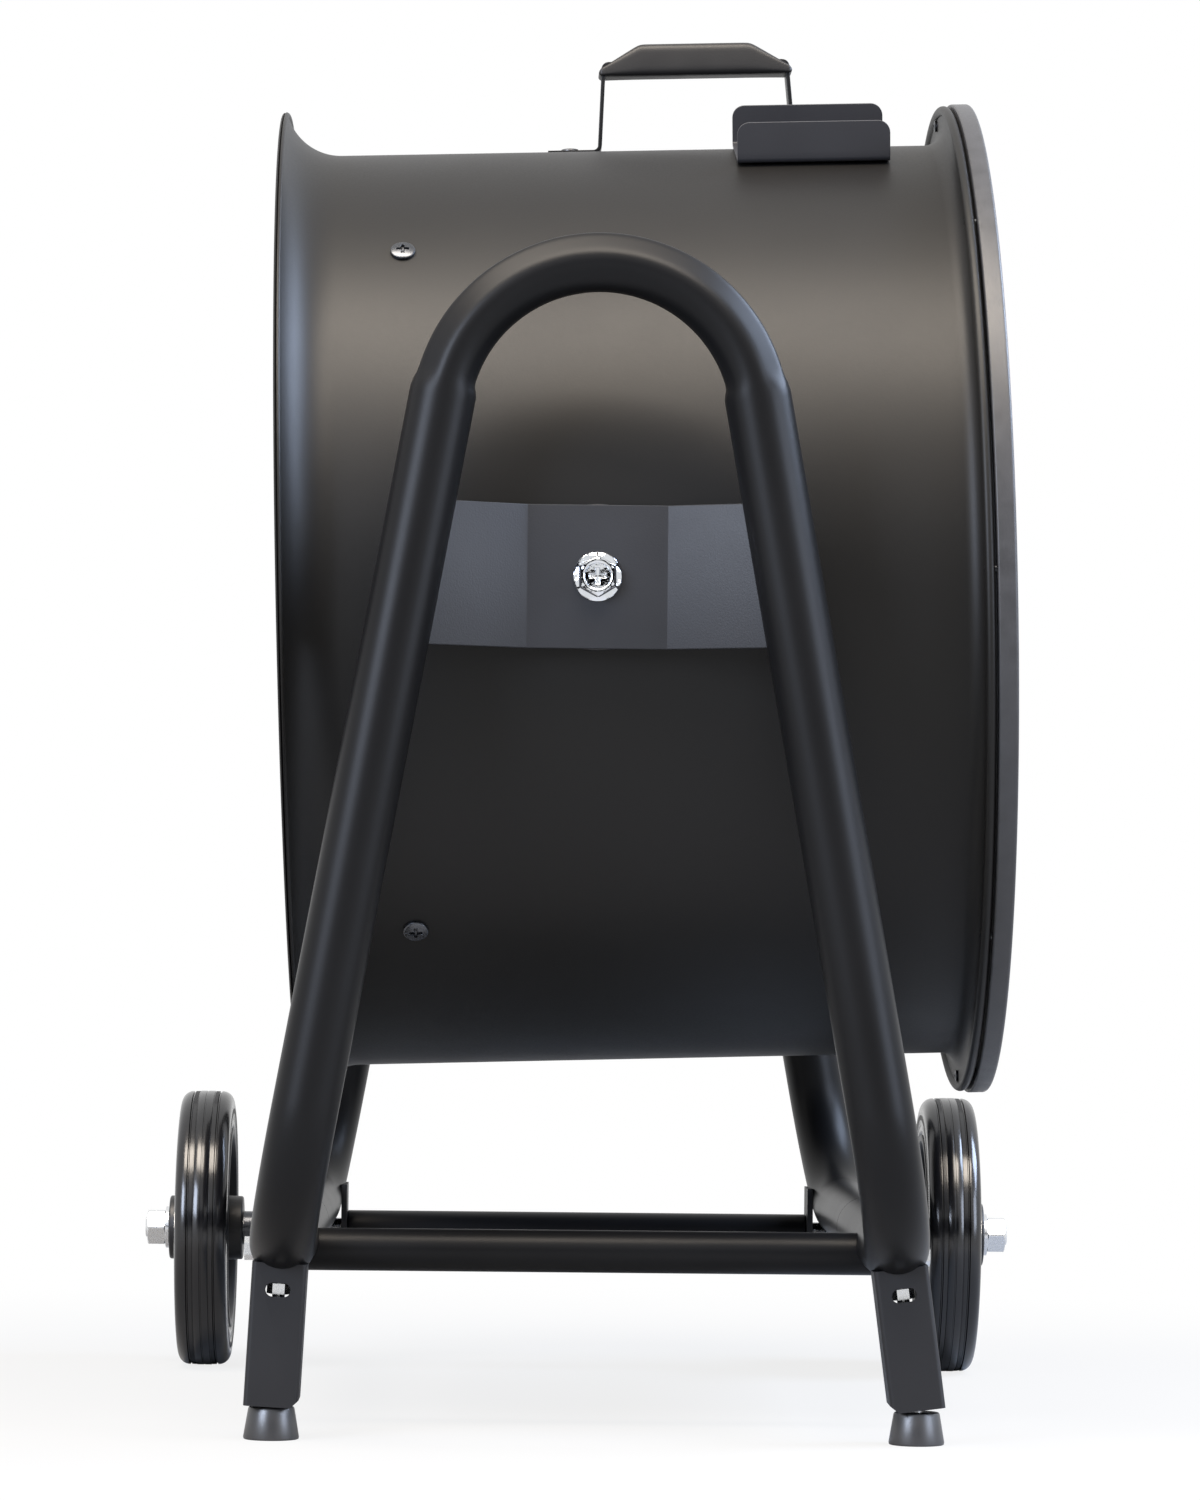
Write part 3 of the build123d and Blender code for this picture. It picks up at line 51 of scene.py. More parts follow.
# ---------------- side frames
# Two mirrored loops of 41 mm steel tube that meet in sleeve joints under the drum. Cold bent without
# a mandrel, so the arch is flattened and creased on its shoulders, and powder coated satin black.
PIVOT = 1000 * np.array(joints["drum_tilt"]["pos_m"])
TUBE_R = 20.5
LEG_PLANE = 358.0  # pivot to each frame's plane
LEG_HALF = 116.0  # half the leg spacing at the pivot
BASE_HALF = 191.0
BASE_Z = PIVOT[2] - 415.5
APEX_Z = PIVOT[2] + LEG_HALF * (PIVOT[2] - BASE_Z) / (BASE_HALF - LEG_HALF)
ARCH_R = 97.8
ELBOW_R = 90.0
TUBE_SIDES = 64
STATION = 4.0  # spacing of the sections along a tube
ARCH_FLAT = 17.9  # tube centre to the arch's flattened outside
ARCH_FACET = 18.5  # tube centre to the facets beside it
FACET_TURN = math.radians(50)
FACET_BLEND = 32.0  # power by which tube, flat and facets run into each other
COS_FLOOR = 0.05
CREASE_RUN = 11.0  # how fast the flattening fades at the arch's ends
END_ROUND = 0.8
NEAR, FAR = -1, 1
REAR, FRONT = -1, 1
NOISE_LOW, NOISE_HIGH = 0.3, 0.7  # most of a noise texture's values lie between these
SAME_SPOT = 0.002  # mm within which points are merged


def linear(code):
    """An sRGB hex colour as linear RGBA: c / 12.92 near black, else ((c + 0.055) / 1.055) ^ 2.4."""
    c = np.array([int(code[i:i + 2], 16) for i in (1, 3, 5)]) / 255
    return (*np.where(c <= 0.04045, c / 12.92, ((c + 0.055) / 1.055) ** 2.4).tolist(), 1.0)


def add_node(tree, kind, inputs=(), **settings):
    """Adds a shader node. Settings are its own options; inputs pair a socket with a value, an output,
    or a node whose first output is meant."""
    node = tree.nodes.new("ShaderNode" + kind)
    for name, value in settings.items():
        setattr(node, name, value)
    for socket, value in dict(inputs).items():
        value = value.outputs[0] if isinstance(value, bpy.types.Node) else value
        if isinstance(value, bpy.types.NodeSocket):
            tree.links.new(value, node.inputs[socket])
        else:
            node.inputs[socket].default_value = value
    return node


def new_finish(name):
    """An empty material with its node tree and the object's own coordinates."""
    material = bpy.data.materials.new(name)
    material.use_nodes = True
    tree = material.node_tree
    tree.nodes.clear()
    return material, tree, add_node(tree, "TexCoord").outputs["Object"]


def finish(name, colour, tone, roughness, grain, depth, specular=0.5, cloud=40.0, spread=0.05, metal=False):
    """A coat, moulding or metal. Its colour drifts towards tone over cloud mm, and a grain of that size
    in mm, that many mm deep, bumps it. Its roughness varies by spread: with the grain alone on metal,
    and otherwise with the sum of drift and grain."""
    material, tree, place = new_finish(name)
    clouds = add_node(tree, "TexNoise", {"Vector": place, "Scale": 1000 / cloud, "Detail": 4.0})
    fine = add_node(tree, "TexNoise", {"Vector": place, "Scale": 1000 / grain, "Detail": 3.0})
    paint = add_node(tree, "Mix", {0: clouds, 6: linear(colour), 7: linear(tone)}, data_type="RGBA")
    uneven, terms = fine, 1
    if not metal:
        uneven, terms = add_node(tree, "Math", {0: clouds, 1: fine}, operation="ADD"), 2
    gloss = add_node(tree, "MapRange", {
        "Value": uneven, "From Min": terms * NOISE_LOW, "From Max": terms * NOISE_HIGH,
        "To Min": roughness - spread, "To Max": roughness + spread})
    bump = add_node(tree, "Bump", {"Height": fine, "Distance": depth / 1000})
    shader = add_node(tree, "BsdfPrincipled", {
        "Base Color": paint.outputs[2], "Roughness": gloss, "Normal": bump,
        "Specular IOR Level": specular, "Metallic": float(metal)})
    add_node(tree, "OutputMaterial", {"Surface": shader})
    return material


def around(count):
    """Angles of count places round a ring."""
    return np.arange(count) * 2 * math.pi / count


def unit(v):
    """Vectors over their own lengths."""
    return v / np.maximum(np.linalg.norm(v, axis=-1, keepdims=True), 1e-9)


def rounded_path(corners, radii, pitch):
    """Straight runs joined by tangent arcs: stations, headings, and the way into each corner's arc.

    At a corner that turns by t the arc starts r tan(t / 2) before it, and its point at angle a is
    its centre plus r (sin a) along the run before, less r (cos a) towards the centre."""
    corners = np.asarray(corners, float)
    ways = unit(np.diff(corners, axis=0))
    turns = np.arccos(np.clip((ways[:-1] * ways[1:]).sum(1), -1, 1))
    cuts = np.concatenate([[0], np.asarray(radii) * np.tan(turns / 2), [0]])
    stations, headings, depths = [], [], []
    for k, way in enumerate(ways):
        start, end = corners[k] + way * cuts[k], corners[k + 1] - way * cuts[k + 1]
        share = np.linspace(0, 1, max(2, round(np.linalg.norm(end - start) / pitch) + 1))[:, None]
        stations.append(start + (end - start) * share)
        headings.append(np.repeat(way[None], len(share), 0))
        depths.append(np.zeros((len(share), len(turns))))
        if k < len(turns):
            inward = unit(ways[k + 1] - way * math.cos(turns[k]))
            steps = max(6, round(radii[k] * turns[k] / pitch))
            a = np.linspace(0, turns[k], steps + 1)[1:-1, None]
            stations.append(end + radii[k] * (inward * (1 - np.cos(a)) + way * np.sin(a)))
            headings.append(way * np.cos(a) + inward * np.sin(a))
            into = np.zeros((len(a), len(turns)))
            into[:, k] = radii[k] * np.minimum(a, turns[k] - a)[:, 0]
            depths.append(into)
    return np.vstack(stations), np.vstack(headings), np.vstack(depths)


def transported(headings, first):
    """Normals that turn with the path, never about it: the last one, less its share along the heading."""
    normals, last = [], np.asarray(first, float)
    for way in headings:
        last = unit(last - way * (last @ way))
        normals.append(last)
    return np.array(normals)


def carried(stations, headings, radii, first=(0.0, 0.0, 1.0), sides=TUBE_SIDES):
    """A tube's grid: station plus radius times (cos a, sin a) on the carried normal and its cross product."""
    normals = transported(headings, first)
    crosses = np.cross(headings, normals)
    a = around(sides)
    radii = np.broadcast_to(radii, (len(stations), sides))[..., None]
    return stations[:, None] + radii * (
        np.cos(a)[:, None] * normals[:, None] + np.sin(a)[:, None] * crosses[:, None])


def patch(grid, wrap=(False, True), caps=True):
    """Points and faces of one grid. wrap joins its last row or column to its first, and caps close the
    end rows of a tube."""
    rows, columns = grid.shape[:2]
    index = np.arange(rows * columns).reshape(rows, columns)
    tall = np.vstack([index, index[:1]]) if wrap[0] else index
    wide = np.hstack([tall, tall[:, :1]]) if wrap[1] else tall
    quads = np.stack([wide[:-1, :-1], wide[:-1, 1:], wide[1:, 1:], wide[1:, :-1]], -1).reshape(-1, 4)
    faces = quads.tolist()
    if caps and not wrap[0]:
        faces += [index[0].tolist()[::-1], index[-1].tolist()]
    return grid.reshape(-1, 3), faces


def piece(name, patches, material, body, replaces, crease=32.0):
    """Joins patches, in mm, into one mesh and places it."""
    points, faces, base = [], [], 0
    for spots, loops in patches:
        points.append(spots)
        faces += [[v + base for v in loop] for loop in loops]
        base += len(spots)
    mesh = bpy.data.meshes.new(name)
    mesh.from_pydata((np.vstack(points) / 1000).tolist(), [], faces)
    return place_piece(name, mesh, material, body, replaces, crease)


def place_piece(name, mesh, material, body, replaces, crease=32.0):
    """Merges a mesh's points, turns its faces outwards, shades it smooth up to crease degrees, and puts
    it on its body, at the origin, in place of the nodes that it replaces."""
    shape = bmesh.new()
    shape.from_mesh(mesh)
    bmesh.ops.remove_doubles(shape, verts=shape.verts, dist=SAME_SPOT / 1000)
    bmesh.ops.dissolve_degenerate(shape, edges=shape.edges, dist=SAME_SPOT / 2000)
    bmesh.ops.recalc_face_normals(shape, faces=shape.faces)
    shape.to_mesh(mesh)
    shape.free()
    mesh.shade_smooth()
    mesh.set_sharp_from_angle(angle=math.radians(crease))
    mesh.materials.append(material)
    made = bpy.data.objects.new(name, mesh)
    bpy.context.scene.collection.objects.link(made)
    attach(made, body)
    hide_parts(*replaces)
    return made


def arch_section(a):
    """Radius of the flattened arch at angle a from its outward side: an ellipse inside, and outside
    the smooth least of the round tube, one flat across the outside and one facet on each shoulder."""
    inside = ARCH_FLAT * TUBE_R / np.hypot(TUBE_R * np.cos(a), ARCH_FLAT * np.sin(a))
    flat = ARCH_FLAT / np.maximum(np.cos(a), COS_FLOOR)
    facet = ARCH_FACET / np.maximum(np.cos(np.abs(a) - FACET_TURN), COS_FLOOR)
    outside = (TUBE_R ** -FACET_BLEND + flat ** -FACET_BLEND + facet ** -FACET_BLEND) ** (-1 / FACET_BLEND)
    return np.where(np.cos(a) < 0, inside, outside)


def side_frame_grid(side):
    """The loop from joint to joint: a round tube whose radius eases to the arch's section on the arch."""
    y = PIVOT[1] + side * LEG_PLANE
    stations, headings, depths = rounded_path(
        [(-BASE_HALF, PIVOT[1], BASE_Z), (-BASE_HALF, y, BASE_Z), (0, y, APEX_Z),
         (BASE_HALF, y, BASE_Z), (BASE_HALF, PIVOT[1], BASE_Z)], [ELBOW_R, ARCH_R, ELBOW_R], STATION)
    normals = transported(headings, (0, 0, 1))
    top = np.argmax(stations[:, 2])
    cross = np.cross(headings[top], normals[top])
    lead = math.atan2(cross[2], normals[top][2])
    a = (around(TUBE_SIDES) - lead + math.pi) % (2 * math.pi) - math.pi
    share = np.clip(depths[:, 1] / CREASE_RUN, 0, 1)
    share = (share * share * (3 - 2 * share))[:, None]
    radii = TUBE_R + share * (arch_section(a) - TUBE_R)
    radii[[0, -1]] -= END_ROUND
    ends = stations[[0, -1]] + np.array([[END_ROUND], [-END_ROUND]]) * headings[[0, -1]]
    return carried(*(np.insert(rows, [1, -1], more, axis=0) for rows, more in (
        (stations, ends), (headings, headings[[0, -1]]), (radii, radii[[1, -2]]))))


# Satin powder coat, sprayed and baked: an even soft shine over a faint orange peel.
frame_coat = finish("satin_powder_coat_on_tube", "#0e0e0f", "#121213", 0.38, 1.4, 0.012, specular=0.14,
                    cloud=90.0, spread=0.03)
for side, word in ((NEAR, "near"), (FAR, "far")):
    piece("side_frame_tube_" + word, [patch(side_frame_grid(side))], frame_coat, "stand",
          ["side_frame_" + word])

# ---------------- cross tubes
# Two 27 mm tubes join the loops' base tubes: one bolted in near the feet, one round the axle.
# Plain sawn steel tube with its edges broken, in the same satin coat.
CROSS_R = 13.5
CROSS_Y = 200.0
CROSS_HALF = BASE_HALF - 8.0  # its ends are let into the base tubes
CROSS_BEVEL = 1.0
AXLE = 1000 * np.array(joints["wheel_front_spin"]["pos_m"])
SLEEVE_HALF = BASE_HALF - TUBE_R - 4.0


def shift(x, y, z):
    """The 4 x 4 matrix of a move."""
    move = np.eye(4)
    move[:3, 3] = x, y, z
    return move


def turn(axis, degrees):
    """The 4 x 4 matrix of a turn about axis 0, 1 or 2, right handed."""
    c, s = math.cos(math.radians(degrees)), math.sin(math.radians(degrees))
    spin = np.eye(4)
    i, j = (axis + 1) % 3, (axis + 2) % 3
    spin[i, i], spin[i, j], spin[j, i], spin[j, j] = c, -s, s, c
    return spin


def put(points, place):
    """Points in mm moved by a 4 x 4 matrix."""
    return points @ place[:3, :3].T + place[:3, 3]


def spun(x, r, place, closed):
    """Rows of x and r, one value for each angle a, about the X axis: (x, r cos a, r sin a)."""
    a = around(r.shape[1])
    return patch(put(np.stack([x + 0 * r, r * np.cos(a), r * np.sin(a)], -1), place), (closed, True))


def lathe(profile, place, sides=96, closed=False):
    """A profile of (x, r) points turned about the X axis. Its ends lie on the axis or are capped, or
    it closes on itself, as the section of a ring does."""
    x, r = np.repeat(np.asarray(profile, float).T[..., None], sides, 2)
    return spun(x, r, place, closed)


for name, node, y, z, half in (
        ("front_cross_bar", "front_cross_tube", PIVOT[1] - CROSS_Y, BASE_Z - TUBE_R + CROSS_R, CROSS_HALF),
        ("axle_sleeve", "axle_tube", AXLE[1], AXLE[2], SLEEVE_HALF)):
    profile = [(-half, CROSS_R - CROSS_BEVEL), (-half + CROSS_BEVEL, CROSS_R),
               (half - CROSS_BEVEL, CROSS_R), (half, CROSS_R - CROSS_BEVEL)]
    piece(name, [lathe(profile, shift(0, y, z), 64)], frame_coat, "stand", [node])

# ---------------- pivot plates
# A folded plate of 4 mm steel between each loop's legs: flat where the tilt bolt passes, with a wing
# welded to each leg. Its coat is finer and drier than the tubes'.
PLATE_IN = 315.0
PLATE_T = 4.0
PLATE_FLAT = 87.0
PLATE_HALF_H = 44.5
FOLD_R = 2.0
EDGE = 0.6
LEAN_FLOOR = 0.4  # least cosine of half a corner's turn


def offset_loop(outline, inset):
    """A closed outline moved inwards: each point goes along the mean of its two edges' normals, over
    the cosine of half the angle between them. The outline runs anticlockwise."""
    before, after = unit(outline - np.roll(outline, 1, 0)), unit(np.roll(outline, -1, 0) - outline)
    mean = unit(before + after)
    lean = np.maximum((mean * before).sum(1), LEAN_FLOOR)[:, None]
    return outline + inset * np.stack([-mean[:, 1], mean[:, 0]], 1) / lean


def prism(outline, low, high, edge=EDGE, rings=3):
    """A closed outline in the XY plane raised from low to high, with edges rounded by a quarter circle."""
    outline = np.asarray(outline, float)
    x, y = outline.T
    if (x * np.roll(y, -1) - y * np.roll(x, -1)).sum() < 0:
        outline = outline[::-1]
    a = np.linspace(0, math.pi / 2, rings + 1)
    insets = np.concatenate([edge * (1 - np.sin(a)), edge * (1 - np.cos(a))])
    levels = np.concatenate([low + edge * (1 - np.cos(a)), high - edge * (1 - np.sin(a))])
    return np.array([np.column_stack([offset_loop(outline, inset), np.full(len(outline), level)])
                     for inset, level in zip(insets, levels)])


def strip_outline(corners, radii, thickness, pitch=2.0):
    """The edge view of a bent strip: its rounded path, and the same path moved left by its thickness."""
    path = np.column_stack([np.asarray(corners, float), np.zeros(len(corners))])
    stations, headings, _ = rounded_path(path, radii, pitch)
    left = np.stack([-headings[:, 1], headings[:, 0]], 1)
    return np.vstack([stations[:, :2], (stations[:, :2] + thickness * left)[::-1]])


# Fine texture powder coat: dry and faintly rough, its grain in the bump. Its blue-grey, lighter than the
# tubes' black, is painted light standing in for the light its faces catch at their angle.
plate_coat = finish("fine_texture_coat_painted_lighter", "#202124", "#26272b", 0.5, 1.1, 0.1, specular=0.34)
for side, word in ((NEAR, "near"), (FAR, "far")):
    face = PLATE_IN + PLATE_T
    bends = [(-LEG_HALF, LEG_PLANE), (-PLATE_FLAT / 2, face), (PLATE_FLAT / 2, face), (LEG_HALF, LEG_PLANE)]
    outline = strip_outline(bends, [FOLD_R, FOLD_R], -PLATE_T)
    plate = prism(outline * (1, side), -PLATE_HALF_H, PLATE_HALF_H)
    piece("pivot_plate_sheet_" + word, [patch(put(plate, shift(0, PIVOT[1], PIVOT[2])))],
          plate_coat, "stand", ["pivot_plate_" + word])

# ---------------- front feet
# Folded 3 mm sheet legs bolted under the near elbows, their nuts seen through slots in front, on
# conical moulded rubber feet.
FOOT_TOP_R, FOOT_BASE_R, FOOT_H, FOOT_LIP = 14.25, 17.3, 20.0, 1.6


def round_edges(made, width, past, harden=False):
    """Rounds the edges that turn by more than past degrees, over width mm."""
    bevel = made.modifiers.new("edges", "BEVEL")
    bevel.width = width / 1000
    bevel.segments = 2
    bevel.limit_method = "ANGLE"
    bevel.angle_limit = math.radians(past)
    bevel.harden_normals = harden


def softened(name, nodes, material, body, width):
    """A copy of CAD solids, merged, with flat faces joined and its edges rounded over width mm."""
    parts = bmesh.new()
    for node in nodes:
        parts.from_mesh(frame["nodes"][node].data)
    bmesh.ops.remove_doubles(parts, verts=parts.verts, dist=SAME_SPOT / 1000)
    bmesh.ops.dissolve_limit(parts, angle_limit=math.radians(0.5), verts=parts.verts, edges=parts.edges)
    mesh = bpy.data.meshes.new(name)
    parts.to_mesh(mesh)
    parts.free()
    round_edges(place_piece(name, mesh, material, body, nodes), width, 35, True)


# Matt powder coat: a dry dark grey with hardly any shine.
leg_coat = finish("matt_powder_coat", "#18181a", "#1c1c1e", 0.5, 0.9, 0.03, specular=0.3)
# Moulded black rubber: a low wide shine, with the faint grain of the mould.
foot_rubber = finish(
    "moulded_foot_rubber", "#1e1e20", "#262628", 0.36, 1.0, 0.02, specular=0.8, cloud=30.0, spread=0.06)
foot_profile = [(0, 0), (0, FOOT_BASE_R - 0.8), (0.3, FOOT_BASE_R - 0.2), (FOOT_LIP, FOOT_BASE_R),
                (FOOT_H - 1.2, FOOT_TOP_R + 0.15), (FOOT_H - 0.3, FOOT_TOP_R - 0.3),
                (FOOT_H, FOOT_TOP_R - 1.0), (FOOT_H, 0)]
for word in ("rear", "front"):
    softened("foot_leg_sheet_" + word, ["foot_leg_" + word], leg_coat, "stand", 0.6)
    x, y, _ = 500 * np.add(*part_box("rubber_foot_" + word))  # its middle, in mm
    piece("foot_cone_" + word, [lathe(foot_profile, shift(x, y, 0) @ turn(1, -90), 72)], foot_rubber,
          "stand", ["rubber_foot_" + word], crease=40)

# ---------------- axle and wheels
# A 16 mm bright axle with nuts and washers on its ends carries two solid rubber tyres on moulded
# black plastic centres. The tyres are vulcanised in a polished mould, with two knurled strips.
TYRE_R, TYRE_HALF, RIM_R = 99.0, 19.0, 72.0
KNURLS, KNURL_DEPTH = 300, 0.45
HUB_RIBS, HUB_SIDES = 6, 288
WEB_IN, WEB_OUT, RIB_FACE = 23.5, 66.0, 11.0
RIB_HALF, RIB_EASE = 1.5, 1.6  # half a rib's width, and what its flank adds to that
AXLE_R, THREAD_START, THREAD_PITCH, NUT_START = 8.0, 291.0, 1.5, 295.3
WASHER_R, WASHER_T, WASHER_EDGE = 15.0, 2.7, 0.3
AXLE_NUT_AF, NUT_END, AXLE_PROUD, NUT_SIDES, HEX_CORNER = 24.0, WASHER_T + 13.0, 1.5, 96, 1.13


def arc(centre_x, centre_y, radius, start, end, count):
    """Points of a circular arc, angles in degrees."""
    a = np.radians(np.linspace(start, end, count))
    return np.column_stack([centre_x + radius * np.cos(a), centre_y + radius * np.sin(a)])


def tyre_grid(place):
    """The tyre's section turned about the axle. Half of it is given as (x, depth below the tread):
    middle line, middle band, strip, groove, crowned shoulder, side wall, ring, lip, rim. On the knurled
    rows, the strip and the ring, every second point stands proud."""
    half = np.vstack([
        [(0.0, 0.5), (0.35, 0.5), (0.6, 0.0), (5.0, 0.0), (5.3, 0.3), (5.5, 0.9), (5.9, 0.9)],
        [(6.0, 0.7), (8.6, 0.8)],
        [(8.8, 1.0), (9.1, 2.0), (9.7, 2.0), (9.9, 1.0)],
        arc(10.3, 8.5, 8.2, -90, -8, 12),
        [(18.75, 10.5), (18.3, 11.2), (18.3, 12.0)],
        [(18.5, 12.4), (18.9, 12.8), (18.9, 16.0), (18.5, 16.4)],
        [(17.9, 17.0), (17.9, 20.5), (18.3, 21.0), (18.3, 23.5), (17.6, 24.2), (16.8, 24.6),
         (16.8, TYRE_R - RIM_R)],
    ])
    knurled = np.zeros((len(half), 1))
    knurled[7:9] = knurled[-10:-8] = 1
    x, depth = np.vstack([half[:0:-1] * (-1, 1), half]).T[..., None]
    rows = np.vstack([knurled[:0:-1], knurled])
    tooth = np.where(np.arange(2 * KNURLS) % 2, KNURL_DEPTH, 0.0)
    flat = np.abs(x) > TYRE_HALF - 1.5
    return spun(x + rows * np.where(flat, np.sign(x) * (tooth - KNURL_DEPTH), 0),
                TYRE_R - depth + rows * np.where(flat, 0, tooth), place, True)


def hub_grid(place):
    """A wheel centre: boss, dished web with ribs and rim, as one closed section turned about the axle.
    A rib lifts the web's face by a clipped ramp of the distance from the rib's middle line."""
    a = around(HUB_SIDES)
    away = np.abs((a * HUB_RIBS / (2 * math.pi) + 0.5) % 1 - 0.5) * 2 * math.pi / HUB_RIBS
    side = np.array([
        (26.5, 11.2), (26.5, 21.5), (26.2, 22.3), (25.5, 22.8), (8.0, 23.6), (4.8, 25.0), (3.5, 28.0),
        (3.0, 34.0), (3.0, 42.0), (3.0, 50.0), (3.0, 58.0), (3.5, 63.0), (5.0, 65.8), (8.0, 66.6),
        (17.0, 67.0), (18.4, 67.6), (18.9, 68.6), (18.9, 71.2), (18.4, 72.0)])
    section = np.vstack([side, side[::-1] * (-1, 1)])
    x, r = section[:, :1] + 0 * a[None], section[:, 1:] + 0 * a[None]
    web = (r > WEB_IN) & (r < WEB_OUT)
    rib = np.clip(RIB_EASE - (away[None] * r - RIB_HALF), 0, 1)
    x = np.where(web, np.sign(x) * (np.abs(x) + (RIB_FACE - np.abs(x)).clip(0) * rib), x)
    return spun(x, r, place, True)


def hex_radius(a, flats):
    """Distance from a hexagon's middle to its side at angle a, with its corners slightly rounded."""
    fold = (a + math.pi / 6) % (math.pi / 3) - math.pi / 6
    return np.minimum(flats / 2 / np.cos(fold), flats / 2 * HEX_CORNER)


def polar(rings, place, sides=96, bored=False):
    """Rings of (r, z) about +Z, each a number or one value for each angle a: (r cos a, r sin a, z).
    A bored shape closes on itself; any other is capped at both ends."""
    a = around(sides)
    r, z = (np.array([np.broadcast_to(ring[k], sides) for ring in rings]) for k in (0, 1))
    return patch(put(np.stack([r * np.cos(a), r * np.sin(a), z], -1), place), (bored, True))


def axle_nut(place):
    """A washer with bevelled outer edges, and on it a hexagon nut whose corners are cut back at 30
    degrees and whose bore is countersunk."""
    rim, bevel, hole = WASHER_R - WASHER_EDGE, WASHER_T - WASHER_EDGE, AXLE_R + 0.2
    washer = [(hole, 0), (rim, 0), (WASHER_R, WASHER_EDGE), (WASHER_R, bevel), (rim, WASHER_T),
              (hole, WASHER_T)]
    low, high = WASHER_T, NUT_END
    out, face, sink = hex_radius(around(NUT_SIDES), AXLE_NUT_AF), 0.485 * AXLE_NUT_AF, 0.8
    drop = (out - 0.49 * AXLE_NUT_AF) * math.tan(math.radians(30))
    nut = [(AXLE_R, low + sink), (AXLE_R + sink, low), (face, low), (out, low + drop),
           (out, high - drop), (face, high), (AXLE_R + sink, high), (AXLE_R, high - sink)]
    return [polar(rings, place, NUT_SIDES, True) for rings in (washer, nut)]


def threaded_end(low, high, place):
    """The axle's end: a thread of rings at its pitch, each a triangle 0.3 of that deep, then a bevel."""
    turns = int((high - low - THREAD_PITCH) / THREAD_PITCH)
    z = low + np.arange(2 * turns) * THREAD_PITCH / 2
    r = AXLE_R - 0.3 * THREAD_PITCH * (np.arange(2 * turns) % 2)
    rings = list(zip(r, z)) + [(AXLE_R, high - 1.2), (AXLE_R - 1.2, high), (0.0, high)]
    return polar(rings, place, 48)


# Black rubber vulcanised in a polished mould: a dark wet-looking shine.
tyre_rubber = finish(
    "vulcanised_tyre_rubber", "#0d0d0f", "#121214", 0.2, 1.2, 0.008, specular=0.6, cloud=30.0)
# Glass-filled moulded nylon: dark, with a dull even sheen.
hub_plastic = finish("moulded_wheel_nylon", "#161618", "#1b1b1d", 0.42, 0.8, 0.015, cloud=30.0, spread=0.06)
# Bright zinc plate: near white and glossy, with a slightly uneven film.
zinc = finish("bright_zinc_plate", "#e6e7e8", "#d8dadc", 0.26, 0.8, 0.01, cloud=20.0, metal=True)
for word in ("rear", "front"):
    place = shift(*1000 * np.array(joints[f"wheel_{word}_spin"]["pos_m"]))
    body = "wheel_" + word
    piece("tyre_ring_" + word, [tyre_grid(place)], tyre_rubber, body, ["tyre_" + word],
          crease=50)
    piece("wheel_centre_" + word, [hub_grid(place)], hub_plastic, body, ["wheel_hub_" + word])
middle = shift(0, AXLE[1], AXLE[2])
nuts, half = [], THREAD_START
rod = [lathe([(-half, 0), (-half, AXLE_R), (half, AXLE_R), (half, 0)], middle, 48)]
for side in (REAR, FRONT):
    outwards = middle @ turn(1, side * 90)
    nuts += axle_nut(outwards @ shift(0, 0, NUT_START))
    rod.append(threaded_end(THREAD_START, NUT_START + NUT_END + AXLE_PROUD, outwards))
piece("axle_end_nuts", nuts, zinc, "stand", ["axle_nuts"])
piece("axle_bar", rod, zinc, "stand", ["axle_rod"])

# ---------------- drum
# One rolled and spun steel shell: inlet flare with a rolled hem, straight wall, flanged and beaded
# outlet. The fine grain of its coat spreads the studio's lights wide.
DRUM_R, DRUM_WALL = 305.0, 1.2
DRUM_BACK, DRUM_FRONT = 160.0, 229.5
FLARE_R, FLARE_ANGLE, HEM_R = 37.0, 75.0, 2.25
CORNER_R, FLANGE_R, BEAD_R = 12.0, 331.0, 3.25
DRUM_SIDES = 384
drum_place = np.eye(4)
drum_place[:3, 0] = unit(joints["fan_spin"]["axis"])
drum_place[:3, 2] = np.cross(drum_place[:3, 0], (0, 1, 0))
drum_place[:3, 3] = PIVOT


def drum_profile():
    """The wall's closed section in (x, r): outside from hem to bead, then back along the inside. Hem
    and bead are circles, left open by the wall that runs into them."""
    flare = -DRUM_BACK, DRUM_R + FLARE_R
    corner = DRUM_FRONT, DRUM_R + CORNER_R
    start, stop = 270 - FLARE_ANGLE, 270
    hem = np.array(flare) + arc(0, 0, FLARE_R + DRUM_WALL / 2, start, start, 1)[0]
    hem_open, bead_open = (math.degrees(math.asin(DRUM_WALL / 2 / radius)) for radius in (HEM_R, BEAD_R))
    wall = np.linspace(-DRUM_BACK + 6, DRUM_FRONT - 6, 24)
    return np.vstack([
        arc(*flare, FLARE_R, start + 1, stop, 22),
        [(x, DRUM_R) for x in wall],
        arc(*corner, CORNER_R, 270, 360, 12),
        arc(DRUM_FRONT + CORNER_R + DRUM_WALL / 2, FLANGE_R - BEAD_R, BEAD_R, 270 - bead_open,
            -90 + bead_open, 28),
        arc(*corner, CORNER_R + DRUM_WALL, 360, 270, 12),
        [(x, DRUM_R - DRUM_WALL) for x in wall[::-1]],
        arc(*flare, FLARE_R + DRUM_WALL, stop, start + 1, 22),
        arc(*hem, HEM_R, start - 90 + hem_open, start + 270 - hem_open, 24)[::-1],
    ])


# Satin powder coat with a fine sandy grain: a broad warm sheen.
drum_coat = finish(
    "fine_grain_powder_coat", "#0b0a09", "#100f0e", 0.46, 1.5, 0.03, specular=0.25, cloud=120.0)
piece("drum_wall", [lathe(drum_profile(), drum_place, DRUM_SIDES, True)], drum_coat, "drum",
      ["drum_shell"], crease=40)

